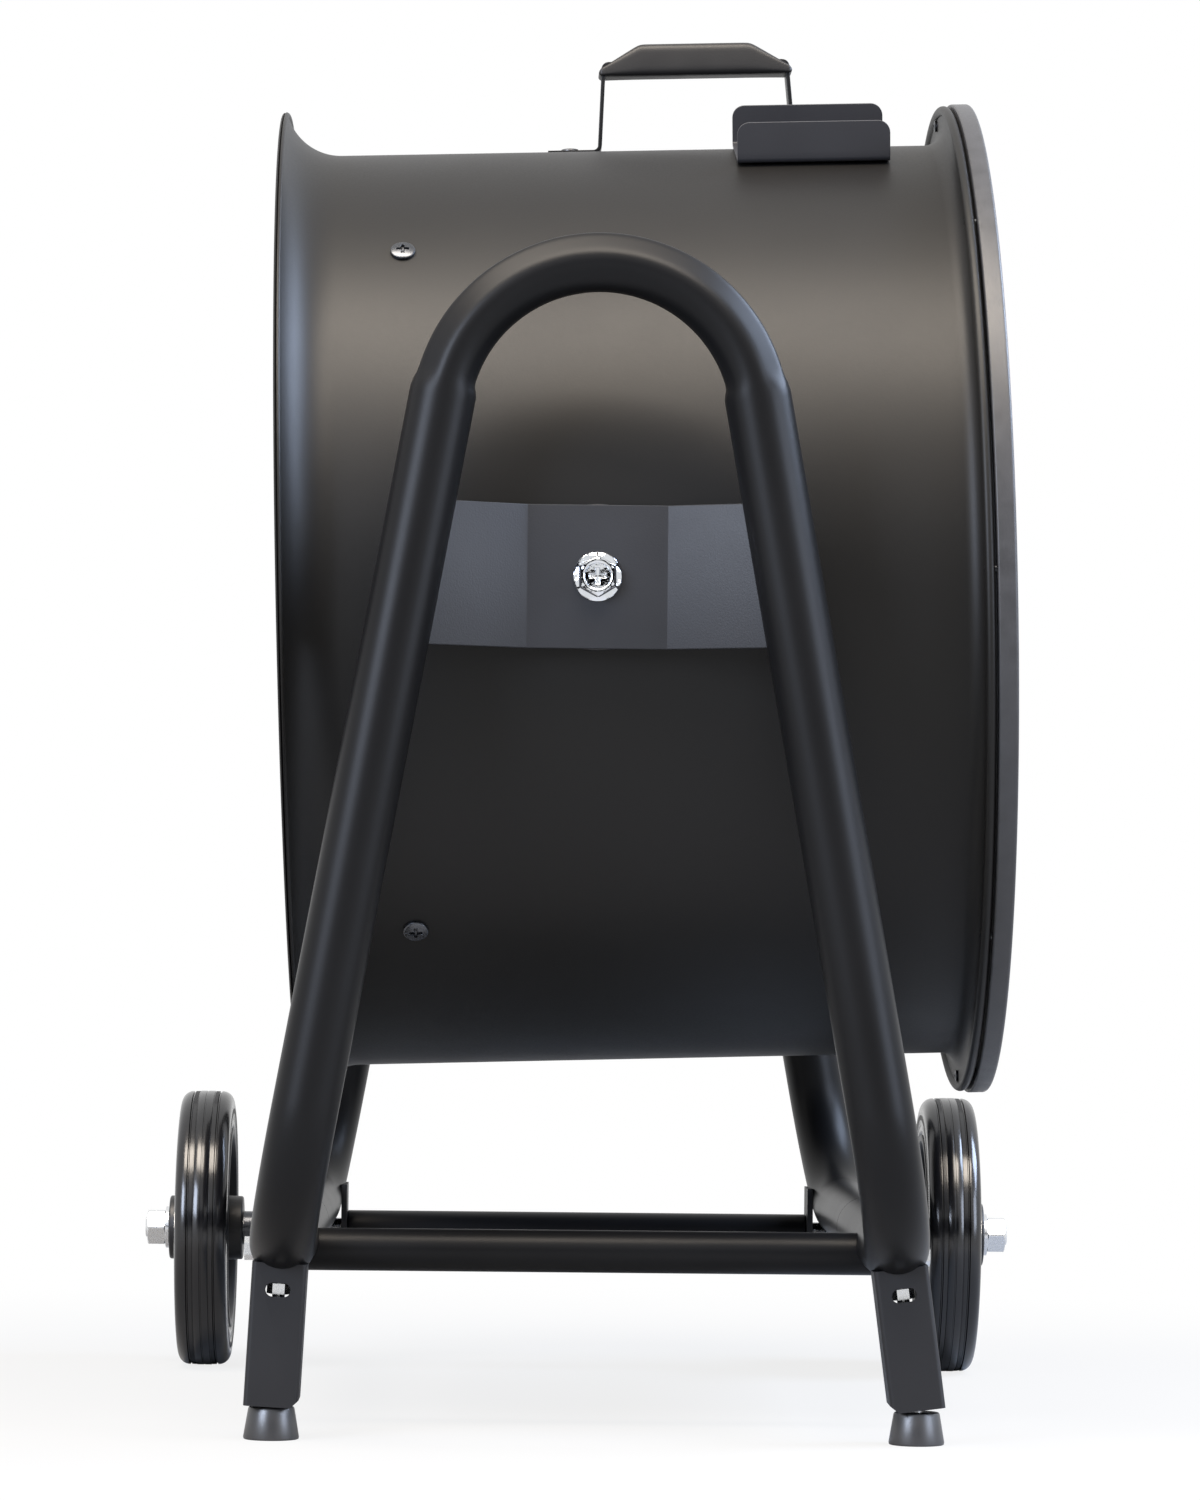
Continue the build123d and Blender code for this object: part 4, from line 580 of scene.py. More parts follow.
# ---------------- guard band and guards
# A rolled channel ring in front of the drum's bead holds the front guard. Both guards are welded
# wire rings on radial rods, dipped and coated gloss black.
BAND_X, BAND_W, BAND_T, BAND_R, BAND_LIP, BAND_HEM = 246.7, 12.3, 1.5, 332.0, 18.0, 3.0
BAND_BACK_R, BAND_FRONT_R = 1.2, 2.2
WIRE_R, SPOKE_R, SPOKES, RING_PITCH = 2.0, 2.5, 8, 27.0
RING_SIDES, WIRE_SIDES = 180, 10
GUARD_IN_R = 59.0
WELD_SINK = 0.9
GUARD_X = BAND_X + BAND_T + WIRE_R
REAR_GUARD_X = -179.0
REAR_GUARD_SINK = 19.0  # how far the rear guard lies inside the flare's middle
PLATE_GAP, DISC_T, DISC_ROUND, DISC_DISH = 0.1, 1.2, 0.4, 0.8
ROD_BEVEL_L, ROD_BEVEL_R = 0.4, 0.5


def band_profile():
    """The ring's section in (x, r): lip against the bead, flat rim, and its front edge turned in."""
    front, inner, under = BAND_X + BAND_W, BAND_R - BAND_LIP, BAND_R - BAND_T
    return np.vstack([
        [(BAND_X, inner)], arc(BAND_X + BAND_BACK_R, BAND_R - BAND_BACK_R, BAND_BACK_R, 180, 90, 6),
        arc(front - BAND_FRONT_R, BAND_R - BAND_FRONT_R, BAND_FRONT_R, 90, 0, 8),
        [(front, BAND_R - BAND_HEM), (front - BAND_T, BAND_R - BAND_HEM), (front - BAND_T - 0.6, under),
         (BAND_X + BAND_T, under), (BAND_X + BAND_T, inner)]])


# Satin coat: greyer than the drum's, and patchier, with lighter grey clouds about 12 mm across.
band_coat = finish(
    "grey_patchy_satin_coat", "#2a2a2b", "#3a3a3c", 0.42, 1.3, 0.05, specular=0.4, cloud=12.0, spread=0.08)
piece("guard_ring_band", [lathe(band_profile(), drum_place, DRUM_SIDES, True)], band_coat, "drum",
      ["guard_band"], crease=40)


def wire_ring(x, radius):
    """A wire bent round the drum's axis: at angle b its skin is at x + wire cos b, radius + wire sin b."""
    return lathe(arc(x, radius, WIRE_R, 0, 360, WIRE_SIDES + 1)[:-1], drum_place, RING_SIDES, True)


def rod_between(start, end, radius, place, sides=16):
    """A straight rod with bevelled ends, in mm: a tube carried from start to end."""
    start, end = np.asarray(start, float), np.asarray(end, float)
    way = unit(end - start)
    stations = np.array([start, start + way * ROD_BEVEL_L, end - way * ROD_BEVEL_L, end])
    radii = np.array([radius - ROD_BEVEL_R, radius, radius, radius - ROD_BEVEL_R])[:, None]
    first = (1, 0, 0) if abs(way[0]) < 0.9 else (0, 1, 0)
    return patch(put(carried(stations, np.repeat(way[None], 4, 0), radii, first, sides), place))


def guard_patches(x, outer_r, out):
    """Rings at an even pitch and eight rods on the guard's outward side."""
    count = int((outer_r - GUARD_IN_R) / RING_PITCH)
    pitch = (outer_r - GUARD_IN_R) / count
    parts = [wire_ring(x, GUARD_IN_R + k * pitch) for k in range(count + 1)]
    rod_x = x + out * (WIRE_R + SPOKE_R - WELD_SINK)
    for k in range(SPOKES):
        spin = drum_place @ turn(0, 360 / SPOKES * (k + 0.5))
        parts.append(rod_between((rod_x, 0, GUARD_IN_R - 2 * SPOKE_R), (rod_x, 0, outer_r + WIRE_R / 1.5),
                                 SPOKE_R, spin))
    return parts


# Dip-coated wire: gloss black with a slightly thick, flowing skin.
wire_coat = finish("gloss_dipped_wire_coat", "#121213", "#171718", 0.32, 2.0, 0.02, specular=0.3)
flare_reach = math.sqrt((FLARE_R + DRUM_WALL + WIRE_R + 0.2) ** 2 - REAR_GUARD_SINK ** 2)
discs = []
for word, x, outer_r, out in (("front", GUARD_X, BAND_R - BAND_T - WIRE_R - 0.1, FRONT),
                              ("rear", REAR_GUARD_X, DRUM_R + FLARE_R - flare_reach, REAR)):
    piece(f"{word}_guard_wires", guard_patches(x, outer_r, out), wire_coat, "drum",
          [word + "_guard"], crease=40)
    r = GUARD_IN_R + WIRE_R
    profile = np.array([
        (0, 0), (0, r - DISC_ROUND), (DISC_ROUND, r), (DISC_T - DISC_ROUND, r), (DISC_T, r - DISC_ROUND),
        (DISC_T, 0.86 * r), (DISC_T - DISC_DISH, 0.84 * r), (DISC_T - DISC_DISH, 0)]) * (out, 1)
    face = x + out * (WIRE_R + 2 * SPOKE_R - WELD_SINK + PLATE_GAP)
    discs.append(lathe(profile, drum_place @ shift(face, 0, 0), 128))
piece("guard_middle_discs", discs, drum_coat, "drum", ["guard_centre_plates"])

# ---------------- tilt joint
# A chromed flanged bolt on each side, through a folded plate, a round moulded pad and the drum.
# Its hexagon head is pressed, with a raised rim, a shallow dish and a cross recess.
PAD_R, PAD_FACE, PAD_BORE, PAD_LIFT = 45.4, 314.7, 7.2, 0.05
BOLT_BASE, BOLT_IN, BOLT_R = PLATE_IN + PLATE_T + 0.3, 284.0, 7.0
BOLT_FLANGE_R, BOLT_FLANGE_T, BOLT_AF, BOLT_HEAD_H = 15.25, 2.6, 22.0, 9.5
BOLT_DISH, DISH_RISE = 1.6, 0.9
BOLT_CROSS, BOLT_CROSS_W, BOLT_CROSS_SOFT = 1.5, 2.4, 0.7
BOLT_SIDES, PAD_SIDES = 192, 128


def cross_depth(r, a, reach, width, soft):
    """How deep a cross recess is at (r, a), from 0 to 1: full inside either bar, fading over soft mm."""
    x, y = np.abs(r * np.cos(a)), np.abs(r * np.sin(a))

    def bar(along, across):
        return np.clip((reach - along) / soft, 0, 1) * np.clip((width / 2 - across) / soft + 0.5, 0, 1)

    return np.maximum(bar(x, y), bar(y, x))


def flanged_bolt(place):
    """A bolt head as rings about +Z: flange, hexagon with corners cut at 32 degrees, rim, dish, cross."""
    a = around(BOLT_SIDES)
    out, half, top = hex_radius(a, BOLT_AF), BOLT_AF / 2, BOLT_HEAD_H
    drop = (out - 0.97 * half) * math.tan(math.radians(32))
    rings = [(0.0, 0.0), (BOLT_FLANGE_R - 0.4, 0.0), (BOLT_FLANGE_R, 0.4), (BOLT_FLANGE_R, 1.0),
             (BOLT_FLANGE_R - 0.5, 1.5), (out + 0.6, BOLT_FLANGE_T - 0.2), (out, BOLT_FLANGE_T + 0.6),
             (out, top - 0.6 - drop), (out - 0.3, top - 0.3 - drop), (0.94 * half, top - 0.1),
             (0.88 * half, top), (0.8 * half, top - 0.1), (0.74 * half, top - 0.5)]
    for r in np.linspace(0.70, 0.0, 34) * half:
        dish = top - BOLT_DISH + DISH_RISE * (r / half) ** 2
        cross = cross_depth(r, a, 0.5 * half, BOLT_CROSS_W, BOLT_CROSS_SOFT)
        rings.append((r, dish - BOLT_CROSS * (1 - r / (0.8 * half)) * cross))
    return polar(rings, place, BOLT_SIDES)


def on_drum(angle, x=0, r=0):
    """Places +Z outwards on the drum, at an angle from its top towards the near side."""
    return drum_place @ turn(0, angle) @ shift(x, 0, r)


def saddle_pad(side):
    """A disc whose back follows the drum: at (r, a) it is at the root of R squared less (r sin a) squared."""
    a = around(PAD_SIDES)
    rings = [(r, np.sqrt(DRUM_R ** 2 - (r * np.sin(a)) ** 2) + PAD_LIFT) for r in (PAD_BORE, 20, 33, PAD_R)]
    rings += [(PAD_R, PAD_FACE - 1.0), (PAD_R - 0.3, PAD_FACE - 0.3), (PAD_R - 1.0, PAD_FACE),
              (PAD_BORE, PAD_FACE)]
    return polar(rings, on_drum(-90 * side), PAD_SIDES, True)


# Bright chrome plate on pressed steel: mirror-like, slightly rippled.
chrome = finish(
    "bright_chrome_plate", "#dfe2e6", "#cfd3d8", 0.06, 2.6, 0.2, cloud=8.0, spread=0.03, metal=True)
# Moulded nylon: dark, with a dull even sheen.
pad_plastic = finish("moulded_pad_nylon", "#18181a", "#1e1e20", 0.5, 0.8, 0.015, cloud=20.0)
parts = []
for side in (NEAR, FAR):
    parts.append(flanged_bolt(on_drum(-90 * side, r=BOLT_BASE)))
    parts.append(rod_between((0, 0, BOLT_IN), (0, 0, BOLT_BASE + 0.5), BOLT_R, on_drum(-90 * side), 48))
piece("tilt_bolts", parts, chrome, "drum", ["pivot_bolts"], crease=28)
piece("tilt_pads", [saddle_pad(side) for side in (NEAR, FAR)], pad_plastic, "drum",
      ["pivot_pads"])

# ---------------- handle
# A bent steel strap riveted on the drum's top, coated like the frames, carries a moulded grip of
# hard plastic with bevelled ends.
GRIP_REAR, GRIP_L, GRIP_TOP_L, GRIP_H, GRIP_W, GRIP_RISE = 15.0, 127.0, 75.0, 22.0, 26.0, 52.0
GRIP_END_H, GRIP_PAST, GRIP_ROUND = 5.0, 1.7, 2.5
GRIP_SOFT, GRIP_POWER = 0.8, 0.42  # how wide its upper bends are, and how round its section is
STRAP_W, STRAP_T, STRAP_FOOT, STRAP_BEND, STRAP_LEAN, STRAP_RIVET = 22.0, 2.5, 33.5, 6.0, 3.5, 18.7

left, right = GRIP_REAR, GRIP_REAR + GRIP_L
bar = GRIP_RISE + GRIP_H / 3
half, middle = GRIP_L / 2, GRIP_REAR + GRIP_L / 2
low = half + STRAP_LEAN
run = [(low + STRAP_FOOT, 0), (low - STRAP_T, 0), (half - STRAP_T, GRIP_RISE), (half - STRAP_T, bar)]
bends = [(middle - x, z) for x, z in run] + [(middle + x, z) for x, z in reversed(run)]
radii = [STRAP_BEND, STRAP_BEND, STRAP_T]
outline = strip_outline(bends, radii + radii[::-1], STRAP_T, 1.0)
strap = prism(outline, -STRAP_W / 2, STRAP_W / 2, 0.4)
piece("handle_strip", [patch(put(strap, on_drum(0, 0, DRUM_R) @ turn(0, 90)))], frame_coat, "drum",
      ["handle_strap"])


def grip_grid():
    """The grip as sections along X: a rounded oblong as high as the bevelled outline is there. The
    outline is the smooth least of its full height and the slope up from its nearer end."""
    x0, x1 = left - GRIP_PAST, right + GRIP_PAST
    bevel = (GRIP_L - GRIP_TOP_L) / 2 + GRIP_PAST
    ends = GRIP_ROUND * (1 - np.cos(np.radians(np.linspace(0, 90, 6))))
    bend = np.linspace(-3, 3, 7)
    x = np.concatenate([x0 + ends, np.linspace(x0 + 5, x0 + bevel - 4, 6), x0 + bevel + bend,
                        np.linspace(x0 + bevel + 6, x1 - bevel - 6, 12)[:6]])
    x = np.concatenate([x, (x0 + x1 - x)[::-1]])
    near_end = np.minimum(x - x0, x1 - x)
    slope = GRIP_END_H + (GRIP_H - GRIP_END_H) * near_end / bevel
    tall = (GRIP_H - np.logaddexp(0, (GRIP_H - slope) / GRIP_SOFT) * GRIP_SOFT)[:, None] / 2
    rounding = np.sqrt(np.clip(1 - (1 - np.clip(near_end / GRIP_ROUND, 0, 1)) ** 2, 0, 1))
    shrink = GRIP_ROUND * (1 - rounding)[:, None]
    across, up = (np.sign(turned) * np.abs(turned) ** GRIP_POWER
                  for turned in (np.cos(around(64)), np.sin(around(64))))
    y = across * (GRIP_W / 2 - shrink)
    z = GRIP_RISE + tall + up * (tall - np.minimum(shrink, tall - 0.2))
    return np.stack([np.broadcast_to(x[:, None], y.shape), y, z], -1)


# Hard plastic from a spark-eroded mould: charcoal, with a soft warm sheen.
grip_plastic = finish(
    "moulded_grip_plastic", "#191818", "#1e1d1c", 0.46, 1.0, 0.04, specular=0.3, cloud=30.0)
piece("handle_grip_moulding", [patch(put(grip_grid(), on_drum(0, 0, DRUM_R)))], grip_plastic, "drum",
      ["handle_grip"])

# ---------------- cord cradle
# A folded 2 mm sheet channel with round corners, riveted on the drum's top for winding the supply
# cord on.
CRADLE_X, CRADLE_L, CRADLE_W, CRADLE_H, CRADLE_T = 150.5, 100.0, 75.0, 27.0, 2.0
CRADLE_ANGLE, CRADLE_CORNER, CRADLE_BEND = 17.0, 8.0, 2.5


def cradle_grid():
    """The channel's mid-sheet: s runs up one flange, over the base and up the other; each flange is as
    high as a line with quarter-circle corners is at x."""
    half, mid = CRADLE_L / 2, CRADLE_T / 2
    ends = CRADLE_CORNER * (1 - np.cos(np.radians(np.linspace(0, 90, 9))))
    x = np.concatenate([-half + ends, np.linspace(-half + CRADLE_CORNER, half - CRADLE_CORNER, 14)[1:-1],
                        (half - ends)[::-1]])
    into = np.clip(CRADLE_CORNER - (half - np.abs(x)), 0, CRADLE_CORNER)
    top = CRADLE_H - CRADLE_CORNER + np.sqrt(CRADLE_CORNER ** 2 - into ** 2)
    y0 = CRADLE_W / 2 - mid
    bend = arc(y0 - CRADLE_BEND, mid + CRADLE_BEND, CRADLE_BEND, 0, -90, 6)
    base = np.column_stack([np.linspace(y0 - CRADLE_BEND, -y0 + CRADLE_BEND, 12)[1:-1], np.full(10, mid)])
    fixed = np.repeat(np.vstack([bend, base, bend[::-1] * (-1, 1)])[None], len(x), 0)
    rise = np.linspace(1, 0, 7)[:-1]
    climb = (mid + CRADLE_BEND) + rise[None] * (top[:, None] - mid - CRADLE_BEND)
    y = np.concatenate([np.full(climb.shape, y0), fixed[..., 0], np.full(climb.shape, -y0)], 1)
    z = np.concatenate([climb, fixed[..., 1], climb[:, ::-1]], 1)
    return np.stack([np.broadcast_to(x[:, None], y.shape), y, z], -1)


def sheet_patch(grid, thickness):
    """A closed sheet about a mid grid: the grid moved half its thickness along its normals, both ways,
    and joined at its rim. Normals are the cross product of the grid's own differences."""
    normals = unit(np.cross(np.gradient(grid, axis=0), np.gradient(grid, axis=1)))
    top, under = grid + normals * thickness / 2, grid - normals * thickness / 2
    loop = np.concatenate([top, under[:, ::-1]], 1)
    spots, faces = patch(loop, caps=False)
    rows, columns = loop.shape[:2]
    for row in (0, rows - 1):
        strip = row * columns + np.arange(columns)
        a, b = strip[:columns // 2], strip[columns // 2:][::-1]
        faces += np.stack([a[:-1], a[1:], b[1:], b[:-1]], -1).tolist()
    return spots, faces


# Matt powder coat, a shade greyer than the legs'.
cradle_coat = finish("matt_sheet_coat", "#212124", "#27272a", 0.5, 1.0, 0.03, specular=0.34, spread=0.04)
spots, faces = sheet_patch(cradle_grid(), CRADLE_T)
cradle = piece("cord_channel", [(put(spots, on_drum(CRADLE_ANGLE, CRADLE_X, DRUM_R)), faces)], cradle_coat,
               "drum", ["cord_cradle"])
round_edges(cradle, 0.4, 50)

# ---------------- drum screws and rivets
# Pan head screws with a cross recess hold the motor mount through the drum's wall; domed rivets
# hold the handle, the cord channel and the switch box.
MOUNT_X, SCREW_HEAD_R, SCREW_HEAD_H, SCREW_L, SCREW_SIDES = -118.0, 8.0, 3.4, 12.0, 96
RIVET_HEAD_R, RIVET_HEAD_H, RIVET_L = 6.0, 2.6, 4.0
SHANK_R, SHANK_SIDES, SHANK_TOP = 3.0, 24, 0.5
BOX_ANGLE, BOX_X, BOX_L, BOX_FLOOR = -45.0, -25.0, 120.0, 7.5


def pan_head(radius, height, place, recess):
    """A pan head about +Z: a flat dome with a rounded rim, less the cross recess if it has one."""
    a = around(SCREW_SIDES)
    rings = [(0.0, -0.3), (radius - 0.2, -0.3), (radius, 0.2), (radius, 0.45 * height),
             (0.97 * radius, 0.62 * height)]
    for share in np.linspace(0.92, 0.0, 22):
        z = height * (1 - 0.32 * share ** 2 - 0.06 * share ** 8)
        cross = cross_depth(share * radius, a, 0.52 * radius, 0.24 * radius, 0.2)
        rings.append((share * radius, z - recess * 0.62 * height * (1 - share) ** 0.3 * cross))
    return polar(rings, place, SCREW_SIDES)


# Black zinc on the drum's screws: dark, but with the gloss of plated steel.
dark_zinc = finish(
    "black_zinc_plate", "#5c5e62", "#4c4e52", 0.3, 0.8, 0.01, cloud=10.0, spread=0.06, metal=True)
# Blackened steel rivets: nearly black, with a soft oily gloss.
black_oxide = finish(
    "black_oxide_rivet", "#26272a", "#2e2f33", 0.35, 0.8, 0.01, specular=0.8, cloud=10.0, spread=0.06)
reach = STRAP_LEAN + STRAP_RIVET
screw_places = [(45 + 90 * k, MOUNT_X, 0) for k in range(4)]
rivet_places = [(0, left - reach, STRAP_T), (0, right + reach, STRAP_T)]
rivet_places += [(CRADLE_ANGLE, CRADLE_X + s * CRADLE_L / 3, CRADLE_T) for s in (REAR, FRONT)]
rivet_places += [(BOX_ANGLE, BOX_X + s * (BOX_L / 2 - 12), BOX_FLOOR) for s in (REAR, FRONT)]
for name, node, material, slot, places, radius, height, length, recess in (
        ("mount_screws", "drum_screws", dark_zinc, "zinc_plate", screw_places, SCREW_HEAD_R, SCREW_HEAD_H,
         SCREW_L, 1),
        ("top_rivets", "drum_rivets", black_oxide, "black_hardware", rivet_places, RIVET_HEAD_R,
         RIVET_HEAD_H, RIVET_L, 0)):
    heads = [pan_head(radius, height, on_drum(angle, x, DRUM_R + lift), recess) for angle, x, lift in places]
    shanks = [rod_between((0, 0, -length), (0, 0, lift + SHANK_TOP), SHANK_R, on_drum(angle, x, DRUM_R),
                          SHANK_SIDES) for angle, x, lift in places]
    piece(name, heads + shanks, material, "drum", [node], crease=30)

# ---------------- blades and hub
# Four blades pressed from bare aluminium sheet, riveted between the cheeks of a cast hub on the
# motor's shaft.
HUB_R, HUB_BACK, HUB_L = 46.0, -11.0, 44.0
BLADE_ROOT, BLADE_TIP, ROOT_ANGLE, TIP_ANGLE, BLADE_T, BLADE_CAMBER = 92.0, 176.0, 42.0, 22.0, 2.5, 3.0
BLADE_END = DRUM_R - DRUM_WALL - 13.0
BLADE_TURN = 22.5
TIP_START, TIP_DRAWN, ROOT_DRAWN = 0.9, 0.35, 0.12  # shares of the span and of the chord


def blade_grid():
    """Span v and chord u: chord and pitch run evenly from root to tip, the section is an arc whose
    sagitta is the camber, and the chord draws in near the tip by a quarter ellipse."""
    v = np.linspace(0, 1, 25)[:, None]
    u = np.linspace(-1, 1, 25)[None]
    r0 = HUB_R / 2
    r = HUB_R - 3 + v * (BLADE_END - HUB_R + 3)
    share = (r - r0) / (BLADE_END - r0)
    chord = BLADE_ROOT + share * (BLADE_TIP - BLADE_ROOT)
    pitch = np.radians(ROOT_ANGLE + share * (TIP_ANGLE - ROOT_ANGLE))
    drawn = np.sqrt(1 - np.clip((v - TIP_START) / (1 - TIP_START), 0, 1) ** 2 * TIP_DRAWN)
    across = u * chord / 2 * drawn * (1 - ROOT_DRAWN * (1 - v) ** 2)
    lift = BLADE_CAMBER * (1 - (across / (chord / 2)) ** 2) * (0.4 + 0.6 * v) - BLADE_CAMBER / 2
    y = across * np.cos(pitch) - lift * np.sin(pitch)
    x = across * np.sin(pitch) + lift * np.cos(pitch)
    height = np.sqrt(np.clip(r ** 2 - y ** 2, 1, None))
    return np.stack([x + HUB_BACK + HUB_L / 2, y, np.where(v > 0.5, height, r + 0 * u)], -1)


# Bare rolled aluminium: pale grey, semi-bright.
blade_aluminium = finish(
    "rolled_aluminium_sheet", "#b4b6b9", "#a3a5a9", 0.34, 0.9, 0.01, cloud=60.0, spread=0.06, metal=True)
# Aluminium as cast: darker and rougher, with a pebbled skin.
cast_aluminium = finish(
    "cast_aluminium", "#9a9ca0", "#85878b", 0.48, 1.2, 0.08, cloud=15.0, spread=0.08, metal=True)
spots, faces = sheet_patch(blade_grid(), BLADE_T)
blades = [(put(spots, drum_place @ turn(0, 90 * k + BLADE_TURN)), faces) for k in range(4)]
piece("fan_blade_set", blades, blade_aluminium, "fan", ["fan_blades"], crease=45)

# ---------------- the carried-over nodes
# Motor, mount, switch box and small fasteners keep their CAD shape, or a copy of it with rounded
# edges, and get their own finish.

# Powder coat on the mount: matt black with a soft grain.
mount_coat = finish("mount_powder_coat", "#1a1a1b", "#202021", 0.5, 1.2, 0.03)
# Sprayed motor enamel: dark grey with a low shine.
motor_paint = finish("motor_enamel", "#1d1e20", "#232427", 0.4, 1.0, 0.02)
# Moulded ABS from a lightly textured mould: dark and evenly dull.
box_plastic = finish("moulded_abs_box", "#18181a", "#1d1d1f", 0.45, 0.8, 0.03, cloud=30.0)
# The same from a smooth mould: black with a clearer shine.
knob_plastic = finish("moulded_knob_abs", "#141415", "#19191a", 0.35, 0.8, 0.01, cloud=30.0)
# Natural acetal: creamy white and waxy.
bush_plastic = finish("white_acetal_bush", "#c9c6bd", "#bdbab0", 0.45, 1.0, 0.01, cloud=20.0)
# Silicone over glass braid: grey black and dry, with the braid's ripple.
lead_sleeve = finish("silicone_glass_sleeve", "#2a2a2b", "#343435", 0.6, 0.8, 0.1, specular=0.4, cloud=10.0)
# Moulded white case: plain, with a slight gloss.
capacitor_case = finish("white_capacitor_case", "#c8c8c4", "#bcbcb8", 0.4, 1.0, 0.01, cloud=20.0)
# Ground steel and laminations: mid grey with a fine dull grain.
motor_steel = finish(
    "ground_steel", "#8d8f92", "#7c7e82", 0.35, 0.8, 0.01, cloud=20.0, spread=0.06, metal=True)
# Varnished copper wire: warm brown and glossy, rippled by the turns.
copper = finish(
    "varnished_copper_wire", "#9a5a34", "#854a28", 0.35, 1.2, 0.15, cloud=6.0, spread=0.06, metal=True)
softened("axle_brackets_folded", ["axle_bracket_rear", "axle_bracket_front"], leg_coat, "stand", 0.5)
softened("motor_mount_arms", ["motor_mount"], mount_coat, "drum", 0.4)
softened("motor_can", ["motor_housing"], motor_paint, "drum", 0.6)
softened("motor_covers", ["motor_end_bells"], cast_aluminium, "drum", 0.6)
softened("switch_box_tray", ["switch_box"], box_plastic, "drum", 0.4)
softened("switch_box_lid", ["box_lid"], box_plastic, "drum", 0.5)
softened("speed_knob", ["switch_knob"], knob_plastic, "knob", 0.5)
for material, slot, nodes in (
        (zinc, "zinc_plate", "joint_screws cross_tube_bolts foot_studs foot_screws pivot_nuts "
                             "drum_screw_nuts hub_set_screw box_lid_screws"),
        (dark_zinc, "zinc_plate", "axle_spacers guard_screws"),
        (mount_coat, "black_powder_coat", "pivot_stiffeners rear_guard_clips"),
        (bush_plastic, "bush_plastic", "wheel_bush_rear wheel_bush_front"),
        (motor_steel, "motor_steel", "motor_bearings stator_core rotor"),
        (copper, "copper_wire", "stator_windings"),
        (cast_aluminium, "bell_aluminium", "blade_hub"),
        (box_plastic, "box_plastic", "rotary_switch"),
        (capacitor_case, "capacitor_case", "capacitor"),
        (pad_plastic, "pad_plastic", "cable_gland"),
        (lead_sleeve, "lead_sleeve", "motor_lead")):
    for node in nodes.split():
        shown = frame["nodes"][node]
        shown.data.materials.clear()
        shown.data.materials.append(material)

# ---------------- studio
# A white room and floor that keeps a soft shadow, a wide warm softbox overhead, and cooler ones at the
# sides for the tubes, the plate's wings and the drum's lip. A dark card behind the camera gives the
# chromed bolt and the drum's side their dark reflection.
# The camera as fitted to the photograph: lens in mm, spot in metres, aim in degrees.
LENS, CAMERA_SPOT = 136.08, (-0.0566, -3.8331, 0.3125)
YAW, PITCH, ROLL = 0.97, -1.89, 0.60
ROOM_LIGHT = 0.4  # the white room's strength as light; seen, it is 1
FLOOR_SEEN = 0.82  # how white the camera sees the floor under the object
FADE_START, FADE_END = 0.5, 1.3  # metres from the middle between which the floor turns pure white
camera = bpy.data.objects.new("camera", bpy.data.cameras.new("camera"))
aim = turn(2, -YAW) @ turn(0, 90 - PITCH) @ turn(2, ROLL)
camera.matrix_world = Matrix((shift(*CAMERA_SPOT) @ aim).tolist())
camera.data.lens = LENS
bpy.context.scene.collection.objects.link(camera)
bpy.context.scene.camera = camera
bpy.context.scene.view_settings.view_transform = "Standard"


def lamp(name, spot, target, size, watts, colour):
    """An area lamp at spot, facing target, size in metres, that the camera doesn't see."""
    light = bpy.data.lights.new(name, "AREA")
    light.shape = "RECTANGLE"
    light.size, light.size_y = size
    light.energy = watts
    light.color = linear(colour)[:3]
    made = bpy.data.objects.new(name, light)
    made.location = spot
    made.rotation_euler = (Vector(spot) - Vector(target)).to_track_quat("Z", "Y").to_euler()
    made.visible_camera = False
    bpy.context.scene.collection.objects.link(made)


def any_of(tree, path, *kinds):
    """1 where a ray is of one of these kinds, else 0: the greatest of their flags."""
    seen = path.outputs[kinds[0]]
    for kind in kinds[1:]:
        seen = add_node(tree, "Math", {0: seen, 1: path.outputs[kind]}, operation="MAXIMUM")
    return seen


def studio_sheet(name, middle, half_wide, half_high, material):
    """A flat sheet: middle plus and minus half its width and height, in metres."""
    middle, wide, high = np.array([middle, half_wide, half_high])
    corners = [middle - wide - high, middle + wide - high, middle + wide + high, middle - wide + high]
    mesh = bpy.data.meshes.new(name)
    mesh.from_pydata(corners, [], [(0, 1, 2, 3)])
    mesh.materials.append(material)
    sheet = bpy.data.objects.new(name, mesh)
    bpy.context.scene.collection.objects.link(sheet)
    return sheet


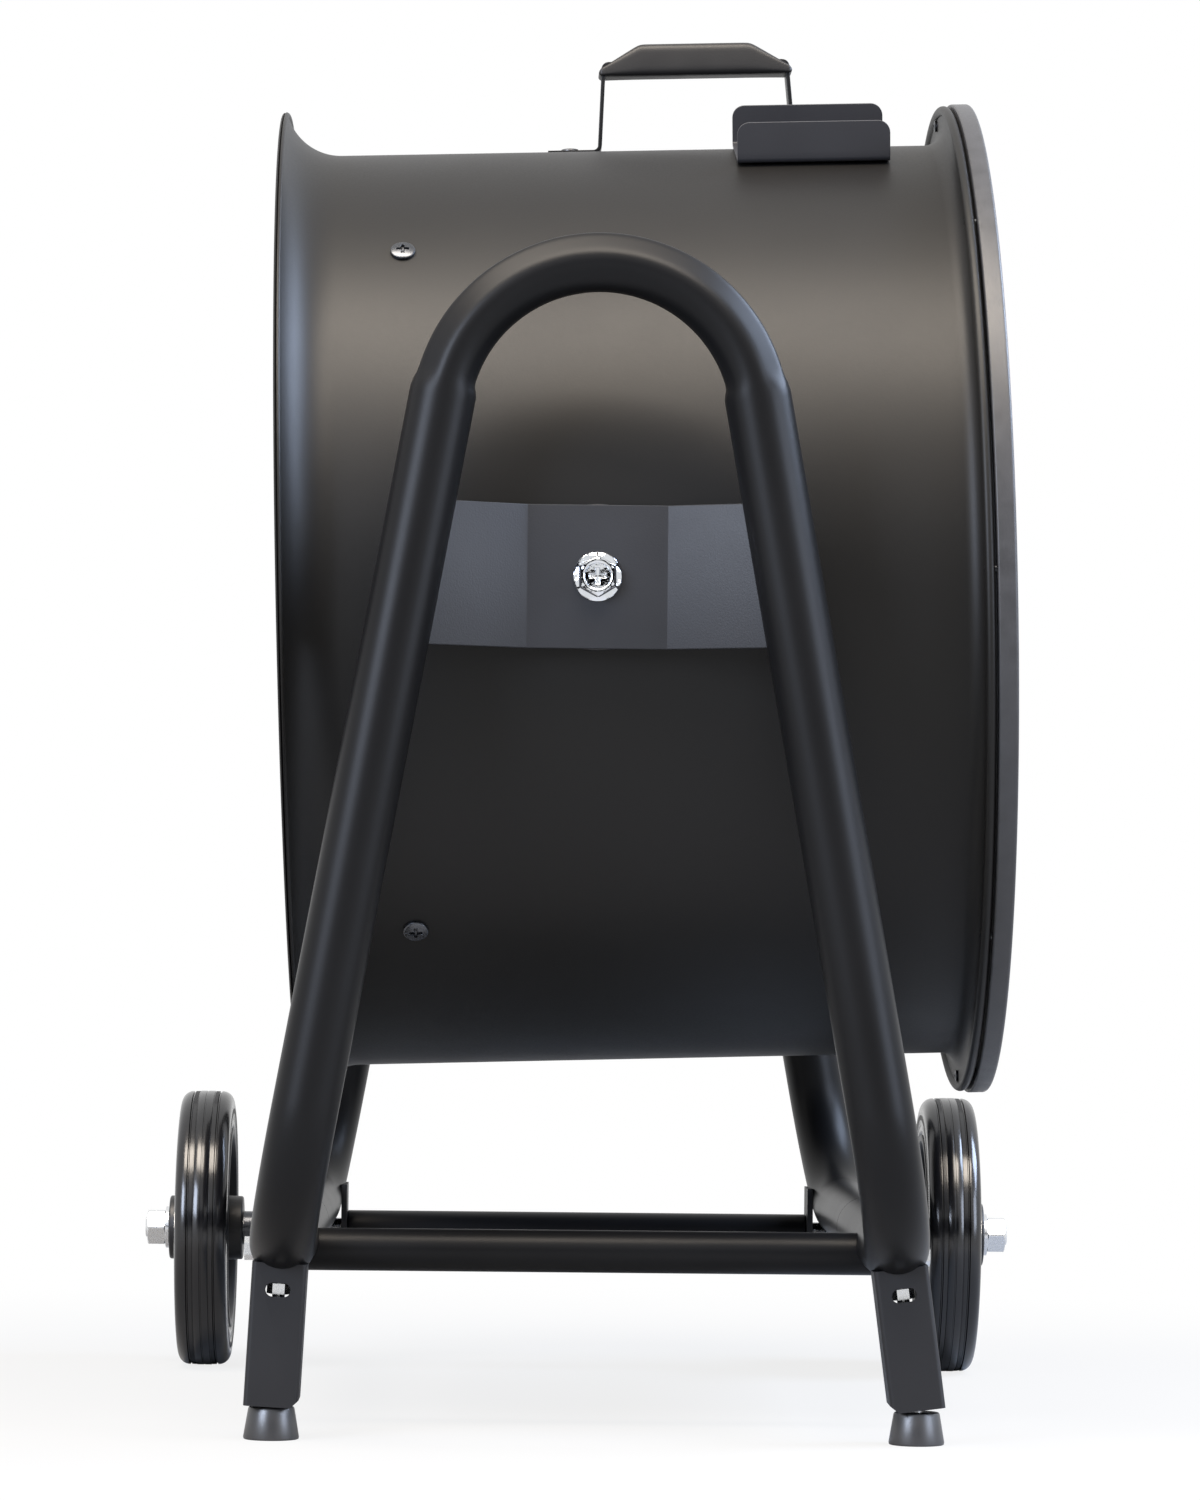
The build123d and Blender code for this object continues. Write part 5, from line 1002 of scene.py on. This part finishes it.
lamp("overhead_softbox", (-0.2, -1.05, 2.6), (0.0, -0.2, 0.6), (2.8, 1.1), 155.0, "#fff3e4")
lamp("right_softbox", (2.1, 0.1, 2.0), (-0.1, -0.1, 0.7), (1.4, 1.4), 135.0, "#cfe1ff")
lamp("left_side_softbox", (-1.9, -2.2, 1.4), (0.0, -0.2, 0.6), (1.3, 1.3), 95.0, "#dce8ff")
lamp("right_side_softbox", (2.3, -1.5, 1.0), (0.0, -0.2, 0.6), (1.3, 1.3), 48.0, "#dce8ff")

world = bpy.data.worlds.new("white_room")
bpy.context.scene.world = world
world.use_nodes = True
tree = world.node_tree
tree.nodes.clear()
path = add_node(tree, "LightPath")
seen = any_of(tree, path, "Is Camera Ray", "Is Glossy Ray", "Is Transmission Ray")
strength = add_node(tree, "MapRange", {"Value": seen, "To Min": ROOM_LIGHT, "To Max": 1.0})
backdrop = add_node(tree, "Background", {"Color": (1.0, 1.0, 1.0, 1.0), "Strength": strength})
add_node(tree, "OutputWorld", {"Surface": backdrop})

# Matt white paper: it takes the object's shadow, and turns to plain white away from it.
paper, tree, place = new_finish("white_paper_floor")
path = add_node(tree, "LightPath")
seen = any_of(tree, path, "Is Camera Ray", "Is Glossy Ray")
near_share = add_node(tree, "Math", {0: path.outputs["Is Camera Ray"], 1: FLOOR_SEEN}, operation="MULTIPLY")
reach_out = add_node(tree, "VectorMath", {0: place}, operation="LENGTH")
far_share = add_node(tree, "MapRange", {
    "Value": reach_out.outputs["Value"], "From Min": FADE_START, "From Max": FADE_END,
    "To Min": near_share}, interpolation_type="SMOOTHSTEP")
matt = add_node(tree, "BsdfDiffuse", {"Color": linear("#a0a0a0")})
far_floor = add_node(tree, "Emission", {"Strength": 1.0})
blend = add_node(tree, "Math", {0: far_share, 1: seen}, operation="MULTIPLY")
both = add_node(tree, "MixShader", {0: blend, 1: matt, 2: far_floor})
add_node(tree, "OutputMaterial", {"Surface": both})
floor = studio_sheet("floor", (0, 0, 0), (9, 0, 0), (0, 9, 0), paper)

# Black felt: it swallows the light, so only its dark reflection shows.
felt, tree, _ = new_finish("black_felt_card")
dull = add_node(tree, "BsdfDiffuse", {"Color": linear("#0c0c0d")})
add_node(tree, "OutputMaterial", {"Surface": dull})
card = studio_sheet("dark_card", (0, -5.0, 1.0), (2.1, 0, 0), (0, 0, 0.7), felt)
card.visible_camera = False
